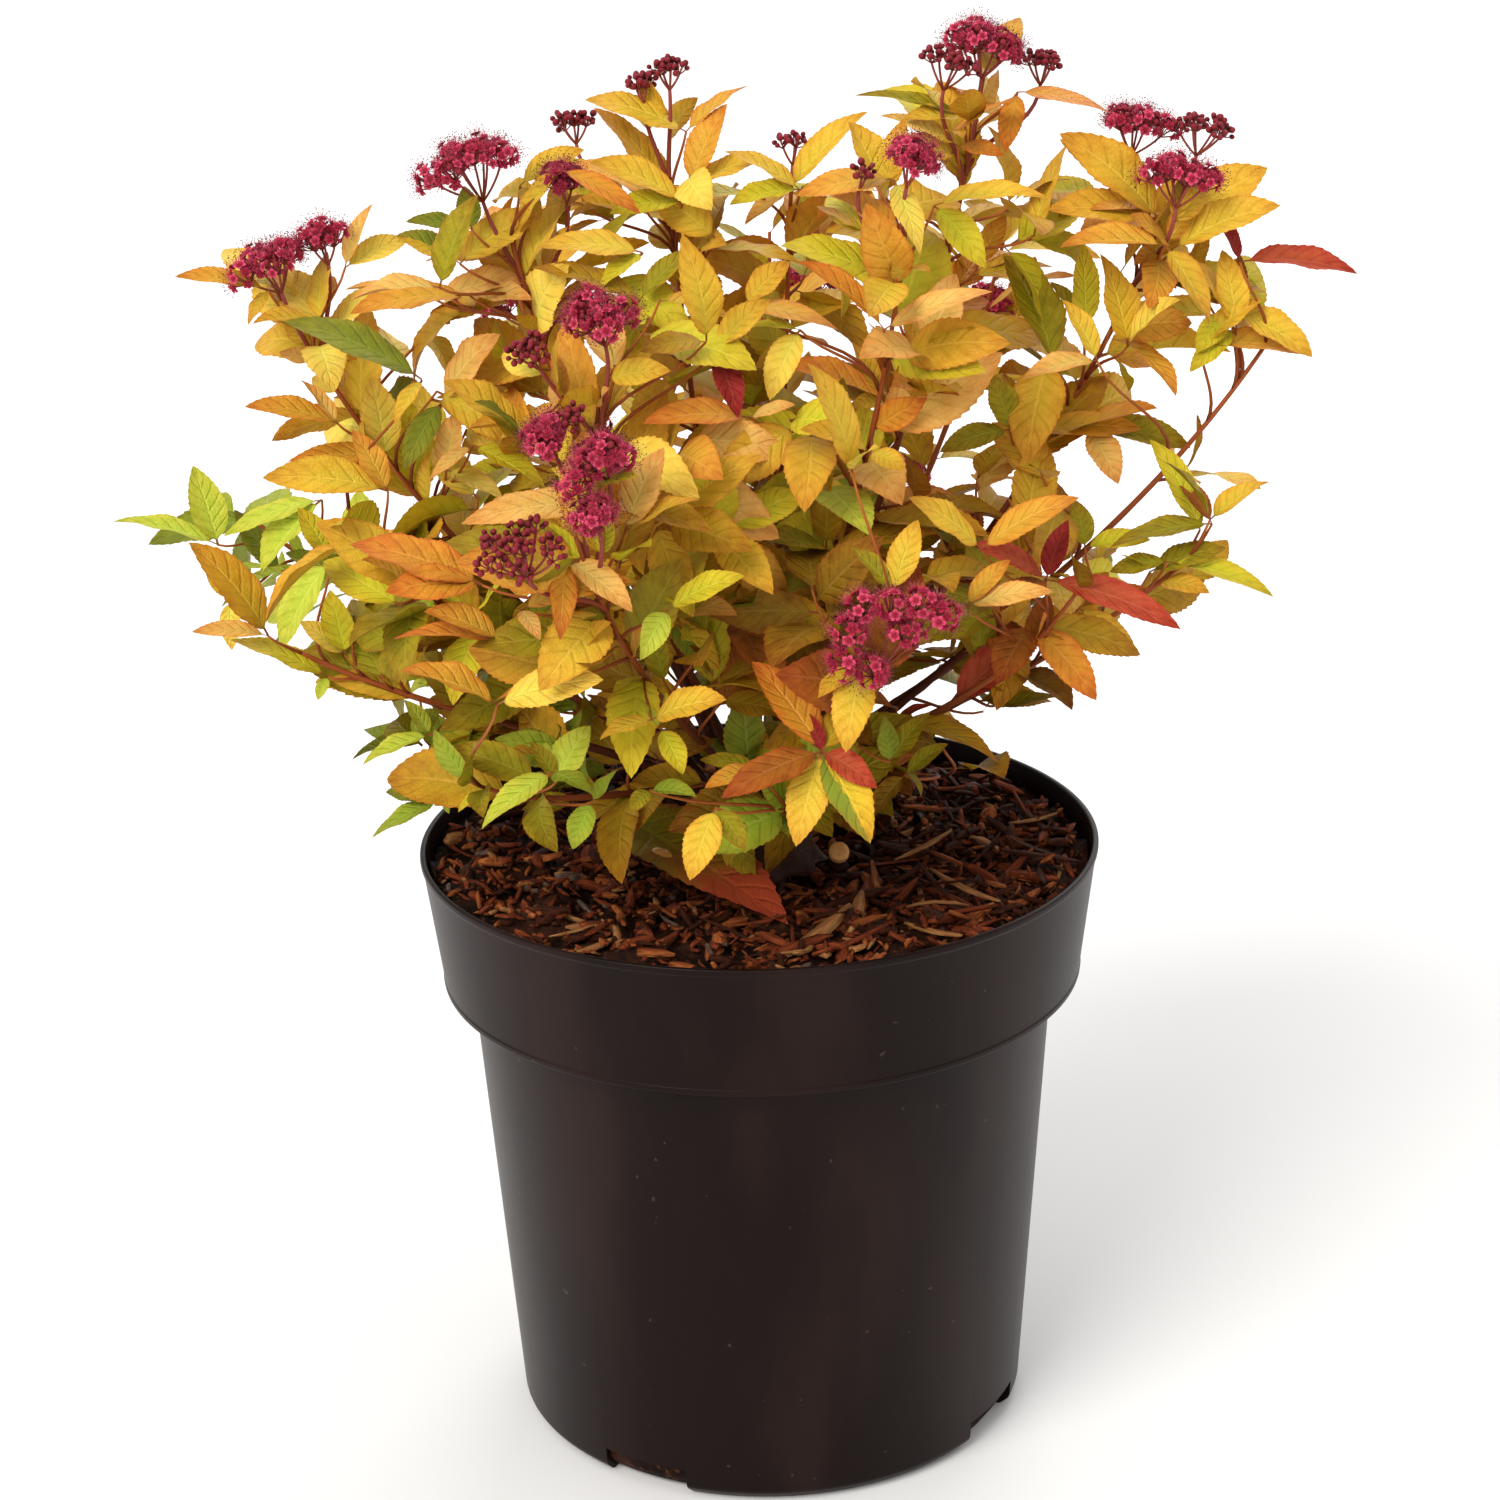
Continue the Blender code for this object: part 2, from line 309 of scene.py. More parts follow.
def relief(x: np.ndarray, y: np.ndarray, scale: float, seed: int, waves: int = 24) -> np.ndarray:
    """A soft uneven height from about -1 to 1: a sum of sine waves that run in seeded directions.

    Args:
        x: One coordinate of the places.
        y: The other coordinate.
        scale: The longest wave's length.
        seed: Which pattern.
        waves: How many waves are summed.

    Returns:
        The height at each place.
    """
    chance = np.random.default_rng(seed)
    bearings = chance.uniform(0, 2 * math.pi, waves)
    lengths = scale * chance.uniform(0.3, 1.0, waves)
    starts = chance.uniform(0, 2 * math.pi, waves)
    across = x[..., None] * np.cos(bearings) + y[..., None] * np.sin(bearings)
    weights = lengths / scale
    heights = np.sin(2 * math.pi * across / lengths + starts) * weights
    return heights.sum(axis=-1) / math.sqrt((weights**2).sum())


# Node trees


class Wire:
    """A number, vector or colour on its way through a node tree, which takes sums and products."""

    def __init__(self, board: "Board", socket: bpy.types.NodeSocket) -> None:
        """Keeps the tree and the output socket."""
        self.board = board
        self.socket = socket

    def __add__(self, other: "Wire | float") -> "Wire":
        """This plus another."""
        return self.board.math("ADD", self, other)

    def __mul__(self, other: "Wire | float") -> "Wire":
        """This times another."""
        return self.board.math("MULTIPLY", self, other)

    def __rsub__(self, other: float) -> "Wire":
        """A number less this."""
        return self.board.math("SUBTRACT", other, self)


Value = Wire | float | Colour


class Board:
    """A material's node tree, with short calls for the nodes that the finishes use."""

    def __init__(self, name: str) -> None:
        """Starts a material with its one Principled shader.

        Args:
            name: The material's name.
        """
        self.material = bpy.data.materials.new(name)
        self.material.use_nodes = True
        self.tree = self.material.node_tree
        self.shader = self.tree.nodes["Principled BSDF"]

    def feed(self, target: bpy.types.NodeSocket, value: Value) -> None:
        """Links a wire to an input, or sets the input's own value.

        Args:
            target: The input socket.
            value: A wire, a number or a colour.
        """
        if isinstance(value, Wire):
            self.tree.links.new(value.socket, target)
        elif target.type == "RGBA":
            target.default_value = (*value, 1.0)
        else:
            target.default_value = value

    def wire(self, kind: str, inputs: dict[int | str, Value], output: int | str = 0, **settings: str) -> Wire:
        """One output of a new node.

        Args:
            kind: The node's type.
            inputs: What its inputs are fed, by their numbers or names.
            output: Which of its outputs.
            settings: Its properties.

        Returns:
            The output.
        """
        node = self.tree.nodes.new(f"ShaderNode{kind}")
        for key, setting in settings.items():
            setattr(node, key, setting)
        for key, value in inputs.items():
            self.feed(node.inputs[key], value)
        return Wire(self, node.outputs[output])

    def math(self, operation: str, *values: Wire | float) -> Wire:
        """The result of a Math node."""
        return self.wire("Math", dict(enumerate(values)), operation=operation)

    def ease(self, value: Wire, start: float, end: float) -> Wire:
        """Nought where the value is at start and one where it is at end, with a smooth step between."""
        inputs = dict(enumerate((value, start, end, 0.0, 1.0)))
        return self.wire("MapRange", inputs, interpolation_type="SMOOTHSTEP")

    def noise(self, place: Wire, scale: float, detail: float) -> Wire:
        """A noise's height, from 0 to 1 about 0.5."""
        return self.wire("TexNoise", {"Vector": place, "Scale": scale, "Detail": detail})

    def mix(self, share: Wire, first: Wire | Colour, second: Wire | Colour) -> Wire:
        """A colour between two, where a share of nought gives the first."""
        return self.wire("Mix", {0: share, 6: first, 7: second}, 2, data_type="RGBA")

    def vector(self, *parts: Wire) -> Wire:
        """A vector of two or three numbers."""
        return self.wire("CombineXYZ", dict(enumerate(parts)))

    def map_place(self) -> tuple[Wire, Wire]:
        """The two numbers of the piece's own pattern map."""
        place = self.wire("UVMap", {}, uv_map=PATTERN_MAP)
        return self.wire("SeparateXYZ", {0: place}), self.wire("SeparateXYZ", {0: place}, 1)

    def rolled_place(self, radius: float, length: float) -> Wire:
        """The pattern map rolled into a tube, which hides its seam.

        Args:
            radius: The tube's radius.
            length: Its length.

        Returns:
            The place.
        """
        u, v = self.map_place()
        angle = u * (2 * math.pi)
        across = self.math("COSINE", angle) * radius
        return self.vector(across, self.math("SINE", angle) * radius, v * length)

    def object_place(self) -> Wire:
        """The piece's Object coordinates."""
        return self.wire("TexCoord", {}, "Object")

    def bump(self, height: Wire, distance: float, strength: float) -> None:
        """Feeds a relief to the shader's normal, as deep as a distance in metres."""
        relief_inputs = {"Height": height, "Distance": distance, "Strength": strength}
        self.feed(self.shader.inputs["Normal"], self.wire("Bump", relief_inputs))

    def done(self, colour: Wire | Colour, roughness: Wire | float, specular: float) -> None:
        """Feeds the shader.

        Args:
            colour: The base colour.
            roughness: The roughness.
            specular: The specular level.
        """
        inputs = {"Base Color": colour, "Roughness": roughness, "Specular IOR Level": specular}
        for name, value in inputs.items():
            self.feed(self.shader.inputs[name], value)


# Finishes


class Finish:
    """A surface's finish, which paints the node tree of a material."""

    def paint(self, board: Board) -> None:
        """Paints the node tree."""
        raise NotImplementedError

    def make(self, name: str) -> bpy.types.Material:
        """Makes the finish's material.

        Args:
            name: Its name.

        Returns:
            The material.
        """
        board = Board(name)
        self.paint(board)
        return board.material


def dimmed(colour: Colour, share: float) -> Colour:
    """A colour with each part times a share."""
    return tuple(share * part for part in colour)


@dataclass(frozen=True)
class LeafFinish(Finish):
    """A leaf's colours, laid out on the leaf's own map: across it from edge to edge, and along it.

    The blade is mottled with a deeper tone and greener at its heart, its side veins and the fine net
    between them are sunk and painted darker as painted shade, and its toothed edge and tip turn to the
    edge colour. A patch colour may cover part of one half.
    """

    blade: Colour
    deep: Colour
    edge: Colour
    edge_share: float = 0.55
    tip_share: float = 0.35
    patch: Colour | None = None
    stalk: Colour = (0.34, 0.085, 0.026)
    heart_cast: Colour = (0.84, 1.12, 0.95)
    tip_from: float = 0.72
    vein_pairs: float = 7.0
    vein_slant: float = 1.5
    # How strongly painted shade darkens the sunk side veins and the fine net.
    vein_share: float = 0.13
    net_share: float = 0.08
    relief_depth: float = 0.5 * MM

    def paint(self, board: Board) -> None:
        """Paints the leaf.

        Args:
            board: The node tree.
        """
        u, v = board.map_place()
        out = board.math("ABSOLUTE", u * 2.0 + -1.0)
        place = board.vector(u * 2.4, v * 6.0)
        blotch = board.noise(place, 1.0, 4.0)
        fine = board.noise(place, 11.0, 2.0)
        rib = 1.0 - board.ease(out, 0.02, 0.09)
        slant = fine * 0.9 + out * (-self.vein_slant * 2 * math.pi)
        wave = board.math("COSINE", v * (self.vein_pairs * 2 * math.pi) + slant)
        side_vein = board.math("POWER", wave * 0.5 + 0.5, 7.0) * (1.0 - board.ease(out, 0.74, 0.96))
        crack = board.wire("TexVoronoi", {"Vector": place, "Scale": 5.0}, feature="DISTANCE_TO_EDGE")
        net = 1.0 - board.ease(crack, 0.0, 0.13)

        colour = board.mix(board.ease(blotch, 0.36, 0.66), self.blade, self.deep)
        heart = (1.0 - board.ease(out, 0.05, 0.75)) * 0.6 * (1.0 - board.ease(v, 0.35, 0.9))
        green = tuple(part * by for part, by in zip(self.blade, self.heart_cast))
        colour = board.mix(heart, colour, green)
        # Painted shade: the sunk side veins and net are painted darker, as if shade lay in their grooves.
        sunk = board.math("MAXIMUM", side_vein * self.vein_share, net * self.net_share)
        colour = board.mix(sunk, colour, dimmed(self.deep, 0.62))
        pale = tuple(min(1.0, 1.15 * part + 0.03) for part in self.blade)
        colour = board.mix(rib * 0.5, colour, pale)
        if self.patch:
            colour = board.mix(board.ease(blotch * 0.5 + u + v * 0.12, 0.86, 0.92), colour, self.patch)
        rim = board.ease(fine * 0.2 + out, 0.88, 1.06) * self.edge_share
        tip = board.ease(blotch * 0.3 + v, self.tip_from, self.tip_from + 0.44) * self.tip_share
        colour = board.mix(board.math("MAXIMUM", rim, tip), colour, self.edge)
        colour = board.mix((1.0 - board.ease(v, 0.06, 0.11)) * 0.85, colour, self.stalk)
        specks = board.ease(board.noise(place, 7.0, 1.0), 0.76, 0.80)
        colour = board.mix(specks * 0.6, colour, self.stalk)

        veins = board.math("MAXIMUM", rib * 0.8, side_vein)
        board.bump(1.0 - veins + net * -0.3 + fine * 0.15, self.relief_depth, 0.65)
        board.done(colour, fine * 0.2 + 0.40, 0.17)


class Tint(Enum):
    """The autumn tints that leaves are dealt, each with its finish."""

    # The gold, amber, orange and peach tints are raised above the leaves' own colours, so they stand in for
    # light shining through the leaves: partly painted light.
    GOLD = LeafFinish((0.81, 0.50, 0.042), (0.71, 0.40, 0.026), (0.60, 0.17, 0.018))
    HONEY = LeafFinish((0.74, 0.41, 0.032), (0.62, 0.31, 0.020), (0.54, 0.13, 0.016))
    DEEP_GOLD = LeafFinish((0.50, 0.27, 0.009), (0.38, 0.18, 0.006), (0.40, 0.10, 0.008))
    PALE_GOLD = LeafFinish((0.92, 0.66, 0.095), (0.85, 0.56, 0.055), (0.72, 0.29, 0.04), 0.45, 0.2)
    CHARTREUSE = LeafFinish((0.70, 0.56, 0.028), (0.58, 0.46, 0.016), (0.58, 0.25, 0.020), 0.45, 0.2)
    AMBER = LeafFinish((0.79, 0.39, 0.042), (0.69, 0.29, 0.026), (0.58, 0.11, 0.016), 0.6, 0.45)
    ORANGE = LeafFinish((0.74, 0.29, 0.026), (0.62, 0.19, 0.016), (0.52, 0.07, 0.012), 0.65, 0.5)
    PEACH = LeafFinish((0.90, 0.52, 0.13), (0.82, 0.40, 0.075), (0.68, 0.17, 0.035), 0.55, 0.4)
    RUSSET = LeafFinish((0.42, 0.12, 0.013), (0.29, 0.070, 0.008), (0.38, 0.045, 0.010), 0.6, 0.5)
    BRONZE = LeafFinish((0.32, 0.155, 0.008), (0.20, 0.080, 0.004), (0.30, 0.06, 0.008), 0.5, 0.4)
    RED = LeafFinish((0.50, 0.080, 0.030), (0.38, 0.036, 0.014), (0.42, 0.03, 0.014), 0.5, 0.4)
    CRIMSON = LeafFinish((0.34, 0.026, 0.020), (0.22, 0.012, 0.010), (0.34, 0.022, 0.016), 0.4, 0.4)
    LIME = LeafFinish((0.62, 0.62, 0.065), (0.46, 0.52, 0.032), (0.54, 0.36, 0.03), 0.35, 0.12)
    FRESH = LeafFinish((0.38, 0.42, 0.032), (0.27, 0.33, 0.018), (0.40, 0.23, 0.02), 0.35, 0.12)
    GREEN = LeafFinish((0.28, 0.29, 0.022), (0.19, 0.21, 0.013), (0.36, 0.17, 0.014), 0.4, 0.2)
    OLIVE = LeafFinish((0.38, 0.29, 0.010), (0.26, 0.19, 0.006), (0.38, 0.12, 0.008), 0.5, 0.3)
    PATCHED = LeafFinish(
        (0.80, 0.50, 0.028), (0.66, 0.38, 0.018), (0.56, 0.17, 0.016), patch=(0.26, 0.31, 0.025)
    )
    FALLEN = LeafFinish(
        (0.36, 0.27, 0.010),
        (0.42, 0.19, 0.014),
        (0.40, 0.050, 0.022),
        0.7,
        0.95,
        tip_from=0.5,
        vein_pairs=12.0,
    )


TINTS = list(Tint)
GOLD, HONEY, DEEP_GOLD, PALE_GOLD, CHARTREUSE, AMBER, ORANGE, PEACH, RUSSET = TINTS[:9]
BRONZE, RED, CRIMSON, LIME, FRESH, GREEN, OLIVE, PATCHED, FALLEN = TINTS[9:]


class Palette(Enum):
    """Which tints a spray draws from, and how often."""

    SUNLIT = {GOLD: 6, HONEY: 5, CHARTREUSE: 5, PALE_GOLD: 2, AMBER: 3, PEACH: 1}
    EMBER = {AMBER: 4, GOLD: 4, HONEY: 4, ORANGE: 1.6, PEACH: 2, CHARTREUSE: 3.5}
    PEACHY = {GOLD: 5, PEACH: 3, AMBER: 3, PALE_GOLD: 3, HONEY: 2, PATCHED: 0.6}
    MEADOW = {CHARTREUSE: 5, GOLD: 4, LIME: 2, PALE_GOLD: 2, OLIVE: 1, PATCHED: 1}
    LIMY = {LIME: 6, FRESH: 3, CHARTREUSE: 1}
    GREENISH = {FRESH: 3, LIME: 2, CHARTREUSE: 3, GREEN: 1, OLIVE: 2, GOLD: 2}
    # DUSKY and SHADED hold darker tints for sprays low down and inside the crown: painted shade.
    DUSKY = {DEEP_GOLD: 3, OLIVE: 4, BRONZE: 4, RUSSET: 1, GREEN: 2}
    SHADED = {DEEP_GOLD: 5, OLIVE: 5, BRONZE: 2, HONEY: 3, RUSSET: 1.2, GREEN: 1}
    REDDENED = {RUSSET: 4, RED: 3, ORANGE: 3, DEEP_GOLD: 2, OLIVE: 3, HONEY: 2}

    def draw(self, chance: np.random.Generator, count: int) -> list[Tint]:
        """The tints of one spray: mostly one main tint, with the others among it.

        Args:
            chance: The seeded random numbers.
            count: How many leaves the spray has.

        Returns:
            A tint for each leaf.
        """
        main_share = 0.45
        tints = list(self.value)
        weights = np.array(list(self.value.values()), float)
        weights /= weights.sum()
        main = chance.choice(len(tints), p=weights)
        picked = chance.choice(len(tints), size=count, p=weights)
        keeps_main = chance.random(count) < main_share
        return [tints[main if keep else other] for keep, other in zip(keeps_main, picked)]


SUNLIT, EMBER, PEACHY, MEADOW, LIMY, GREENISH, DUSKY, SHADED, REDDENED = Palette
# Each tint's darker stand-in, dealt to leaves low down and inside the crown as painted shade.
SHADE_SWAPS = {
    PALE_GOLD: HONEY,
    GOLD: DEEP_GOLD,
    HONEY: DEEP_GOLD,
    PATCHED: OLIVE,
    CHARTREUSE: OLIVE,
    PEACH: HONEY,
    AMBER: BRONZE,
    ORANGE: RUSSET,
    LIME: FRESH,
    FRESH: GREEN,
    DEEP_GOLD: BRONZE,
}


@dataclass(frozen=True)
class BarkFinish(Finish):
    """Bark that changes from foot to tip, with streaks along it and small pale pores across it."""

    foot: Colour
    middle: Colour
    tip: Colour
    pore: Colour
    middle_at: float = 0.5
    roughness: float = 0.4

    def paint(self, board: Board) -> None:
        """Paints the bark.

        Args:
            board: The node tree.
        """
        _, v = board.map_place()
        streaks = board.noise(board.rolled_place(1.3, 7.0), 2.2, 5.0)
        flecks = board.noise(board.rolled_place(0.9, 60.0), 1.5, 2.0)
        shifted = streaks * 0.3 + v
        colour = board.mix(board.ease(shifted, 0.1, self.middle_at), self.foot, self.middle)
        colour = board.mix(board.ease(shifted, self.middle_at, 1.05), colour, self.tip)
        colour = board.mix(board.ease(streaks, 0.52, 0.72) * 0.55, colour, dimmed(self.middle, 0.45))
        colour = board.mix(board.ease(flecks, 0.66, 0.74) * 0.5, colour, self.pore)
        board.bump(flecks * 0.4 + streaks, 0.3 * MM, 0.7)
        board.done(colour, streaks * 0.25 + self.roughness, 0.15)


@dataclass(frozen=True)
class GrainFinish(Finish):
    """Split wood or bark: fibres that run along each splinter, in two tones."""

    light: Colour
    dark: Colour
    roughness: float = 0.60

    def paint(self, board: Board) -> None:
        """Paints the grain.

        Args:
            board: The node tree.
        """
        fibres = board.noise(board.rolled_place(2.6, 1.2), 2.4, 4.0)
        blotch = board.noise(board.rolled_place(0.5, 2.5), 1.4, 2.0)
        share = board.ease(blotch * 0.6 + fibres * 0.7, 0.48, 0.82)
        board.bump(fibres, 0.5 * MM, 0.9)
        board.done(board.mix(share, self.dark, self.light), fibres * 0.3 + self.roughness, 0.12)


@dataclass(frozen=True)
class MixFinish(Finish):
    """Damp potting mix: dark crumbs with redder ones among them."""

    wet: Colour = (0.006, 0.0022, 0.0014)
    damp: Colour = (0.030, 0.010, 0.005)
    crumb: Colour = (0.085, 0.030, 0.013)

    def paint(self, board: Board) -> None:
        """Paints the mix.

        Args:
            board: The node tree.
        """
        place = board.object_place()
        crumbs = board.noise(place, 420.0, 4.0)
        colour = board.mix(board.ease(board.noise(place, 60.0, 3.0), 0.40, 0.62), self.wet, self.damp)
        colour = board.mix(board.ease(crumbs, 0.55, 0.72), colour, self.crumb)
        board.bump(crumbs, 1.2 * MM, 1.0)
        board.done(colour, crumbs * 0.3 + 0.62, 0.1)


@dataclass(frozen=True)
class PotFinish(Finish):
    """Satin black moulded plastic with a faint haze, fine moulding texture and a few soil specks."""

    plastic: Colour = (0.0066, 0.0019, 0.0013)
    haze: Colour = (0.0155, 0.0060, 0.0048)
    soil: Colour = (0.050, 0.032, 0.022)

    def paint(self, board: Board) -> None:
        """Paints the plastic.

        Args:
            board: The node tree.
        """
        place = board.object_place()
        stretched = board.wire("Mapping", {"Vector": place, "Scale": (1.0, 1.0, 0.35)})
        cloud = board.noise(stretched, 26.0, 4.0)
        specks = board.ease(board.noise(place, 310.0, 1.0), 0.765, 0.79)
        colour = board.mix(board.ease(cloud, 0.42, 0.72), self.plastic, self.haze)
        colour = board.mix(specks * 0.7, colour, self.soil)
        board.bump(cloud * 0.5 + board.noise(place, 900.0, 2.0), 0.05 * MM, 0.5)
        board.done(colour, cloud * 0.16 + 0.30, 0.12)


@dataclass(frozen=True)
class FlowerFinish(Finish):
    """A soft plant surface that changes along its length from heart to tip, with fine mottling."""

    heart: Colour
    tip: Colour
    roughness: float = 0.45
    turns_from: float = 0.35

    def paint(self, board: Board) -> None:
        """Paints the flower's part.

        Args:
            board: The node tree.
        """
        u, v = board.map_place()
        mottle = board.noise(board.vector(u * 3.0, v * 3.0), 2.0, 3.0)
        share = board.ease(mottle * 0.5 + v, self.turns_from, self.turns_from + 0.7)
        board.bump(mottle, 0.15 * MM, 0.6)
        board.done(board.mix(share, self.heart, self.tip), mottle * 0.2 + self.roughness, 0.08)


@dataclass(frozen=True)
class WaterFinish(Finish):
    """A drop of water with a faintly uneven gloss, whose orange colour is painted light: the glow of the leaf
    below it.
    """

    # Painted light: the orange of the leaf seen through the drop, with only a fifth of the drop clear.
    colour: Colour = (0.95, 0.42, 0.09)
    clear_share: float = 0.2
    refraction: float = 1.33

    def paint(self, board: Board) -> None:
        """Paints the drop.

        Args:
            board: The node tree.
        """
        board.shader.inputs["Transmission Weight"].default_value = self.clear_share
        board.shader.inputs["IOR"].default_value = self.refraction
        board.done(self.colour, board.noise(board.object_place(), 300.0, 1.0) * 0.04 + 0.01, 0.5)


def make_piece(name: str, shell: Shell, finish: Finish) -> bpy.types.Object:
    """An object for a shell, smooth, dressed and riding on the root body.

    Args:
        name: The piece's name.
        shell: Its surface, in place.
        finish: Its finish.

    Returns:
        The object.
    """
    used = shell.faces >= 0
    corners = shell.faces[used].astype(np.int32)
    counts = used.sum(axis=1)
    mesh = bpy.data.meshes.new(name)
    mesh.vertices.add(len(shell.points))
    mesh.vertices.foreach_set("co", shell.points.astype(np.float32).ravel())
    mesh.loops.add(len(corners))
    mesh.loops.foreach_set("vertex_index", corners)
    mesh.polygons.add(len(shell.faces))
    mesh.polygons.foreach_set("loop_start", (np.cumsum(counts) - counts).astype(np.int32))
    layer = mesh.uv_layers.new(name=PATTERN_MAP)
    layer.data.foreach_set("uv", shell.places[used].astype(np.float32).ravel())
    mesh.update(calc_edges=True)
    mesh.validate()
    mesh.shade_smooth()
    mesh.materials.append(finish.make(f"{name}_finish"))
    made = linked(name, mesh)
    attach(made, "root")
    LOG.info("%s: %d triangles", name, int(counts.sum() - 2 * len(counts)))
    return made


def linked(name: str, data: bpy.types.ID) -> bpy.types.Object:
    """A new object in the scene for a mesh, a light or a camera.

    Args:
        name: Its name.
        data: What it shows.

    Returns:
        The object.
    """
    made = bpy.data.objects.new(name, data)
    bpy.context.scene.collection.objects.link(made)
    return made


def without_map(piece: bpy.types.Object) -> None:
    """Drops a piece's pattern map, so that only its Object coordinates place its pattern."""
    for layer in list(piece.data.uv_layers):
        piece.data.uv_layers.remove(layer)


# Camera and light


@dataclass
class StudioCamera:
    """The photograph's view: twenty degrees down on the front, from just under a metre away.

    A pixel is one of the photograph's 1500 x 1500.
    """

    elevation: float = 20.0
    roll: float = 1.45
    distance: float = 0.95
    aim: tuple[float, float, float] = (-0.0019, 0.0, 0.1963)
    picture_side: float = 1500.0
    focal_pixels: float = 3412.0
    sensor: float = 36.0

    def __post_init__(self) -> None:
        """Works out where the camera stands, and its right, above and back with the roll taken in."""
        tilt = math.radians(self.elevation)
        turn = math.radians(self.roll)
        level = np.array([1.0, 0.0, 0.0])
        self.back = np.array([0.0, -math.cos(tilt), math.sin(tilt)])
        self.right = math.cos(turn) * level - math.sin(turn) * np.cross(self.back, level)
        self.above = np.cross(self.back, self.right)
        self.place = np.array(self.aim) + self.back * self.distance

    def ray(self, pixel: Pixel) -> np.ndarray:
        """The way from the camera through a pixel."""
        across, down = (np.array(pixel) - self.picture_side / 2) / self.focal_pixels
        return self.right * across - self.above * down - self.back

    def point(self, pixel: Pixel, depth: float) -> np.ndarray:
        """The point seen at a pixel, at a depth that a picture can't give: its Y in millimetres."""
        ray = self.ray(pixel)
        return self.place + ray * (depth * MM - self.place[1]) / ray[1]

    def point_at_height(self, pixel: Pixel, height: float) -> np.ndarray:
        """The point seen at a pixel, at a height in metres."""
        ray = self.ray(pixel)
        return self.place + ray * (height - self.place[2]) / ray[2]

    def seen(self, points: np.ndarray) -> tuple[np.ndarray, np.ndarray]:
        """Where points stand in the picture, and how far they are in front of the camera.

        Args:
            points: The points, in an array whose last axis is X, Y, Z.

        Returns:
            The pixels, with a last axis of two, and the distances.
        """
        offsets = points - self.place
        distance = -(offsets @ self.back)
        across = self.picture_side / 2 + self.focal_pixels * (offsets @ self.right) / distance
        down = self.picture_side / 2 - self.focal_pixels * (offsets @ self.above) / distance
        return np.stack([across, down], -1), distance

    def make(self) -> None:
        """Makes the camera and sets it as the scene's."""
        data = bpy.data.cameras.new("studio_camera")
        data.sensor_width = self.sensor
        data.lens = self.focal_pixels * self.sensor / self.picture_side
        data.clip_start = 0.05
        camera = linked("studio_camera", data)
        turn = Matrix(np.stack([self.right, self.above, self.back], 1).tolist())
        camera.matrix_world = Matrix.Translation(Vector(self.place)) @ turn.to_4x4()
        bpy.context.scene.camera = camera


@dataclass
class Studio:
    """A plain pale floor, a pale sky, a broad soft key light and a soft box behind."""

    floor_side: float = 16.0
    floor_colour: Colour = (0.86, 0.86, 0.86)
    sky_colour: Colour = (1.0, 0.99, 0.98)
    sky_strength: float = 0.82
    key_way: tuple[float, float, float] = (1.0, 1.3, -1.4)
    key_strength: float = 2.2
    key_spread: float = 34.0
    key_colour: Colour = (1.0, 0.965, 0.91)
    back_place: tuple[float, float, float] = (0.5, 1.7, 1.5)
    back_aim: tuple[float, float, float] = (0.0, 0.0, 0.25)
    back_side: float = 1.2
    back_watts: float = 14.0

    def add_lamp(self, name: str, kind: str, place: Vector, way: Vector) -> bpy.types.Light:
        """A light at a place that points a way.

        Args:
            name: Its name.
            kind: The light's type.
            place: Where it stands.
            way: The way it shines.

        Returns:
            The light's settings.
        """
        data = bpy.data.lights.new(name, kind)
        lamp = linked(name, data)
        lamp.location = place
        lamp.rotation_euler = way.to_track_quat("-Z", "Y").to_euler()
        return data

    def make(self) -> None:
        """Makes the floor, the sky and the lights."""
        scene = bpy.context.scene
        scene.view_settings.view_transform = "Standard"
        world = bpy.data.worlds.new("pale_sky")
        world.use_nodes = True
        sky = world.node_tree.nodes["Background"]
        sky.inputs["Color"].default_value = (*self.sky_colour, 1.0)
        sky.inputs["Strength"].default_value = self.sky_strength
        scene.world = world
        half = self.floor_side / 2
        mesh = bpy.data.meshes.new("studio_floor")
        corners = [(-half, -half, 0), (half, -half, 0), (half, half, 0), (-half, half, 0)]
        mesh.from_pydata(corners, [], [(0, 1, 2, 3)])
        paper = Board("floor_paper")
        paper.done(self.floor_colour, 0.9, 0.2)
        mesh.materials.append(paper.material)
        floor = linked("studio_floor", mesh)
        way = Vector(self.key_way)
        key = self.add_lamp("key_light", "SUN", -way, way)
        key.energy = self.key_strength
        key.angle = math.radians(self.key_spread)
        key.color = self.key_colour
        place = Vector(self.back_place)
        back = self.add_lamp("back_light", "AREA", place, Vector(self.back_aim) - place)
        back.size = self.back_side
        back.energy = self.back_watts


# Pot and mulch


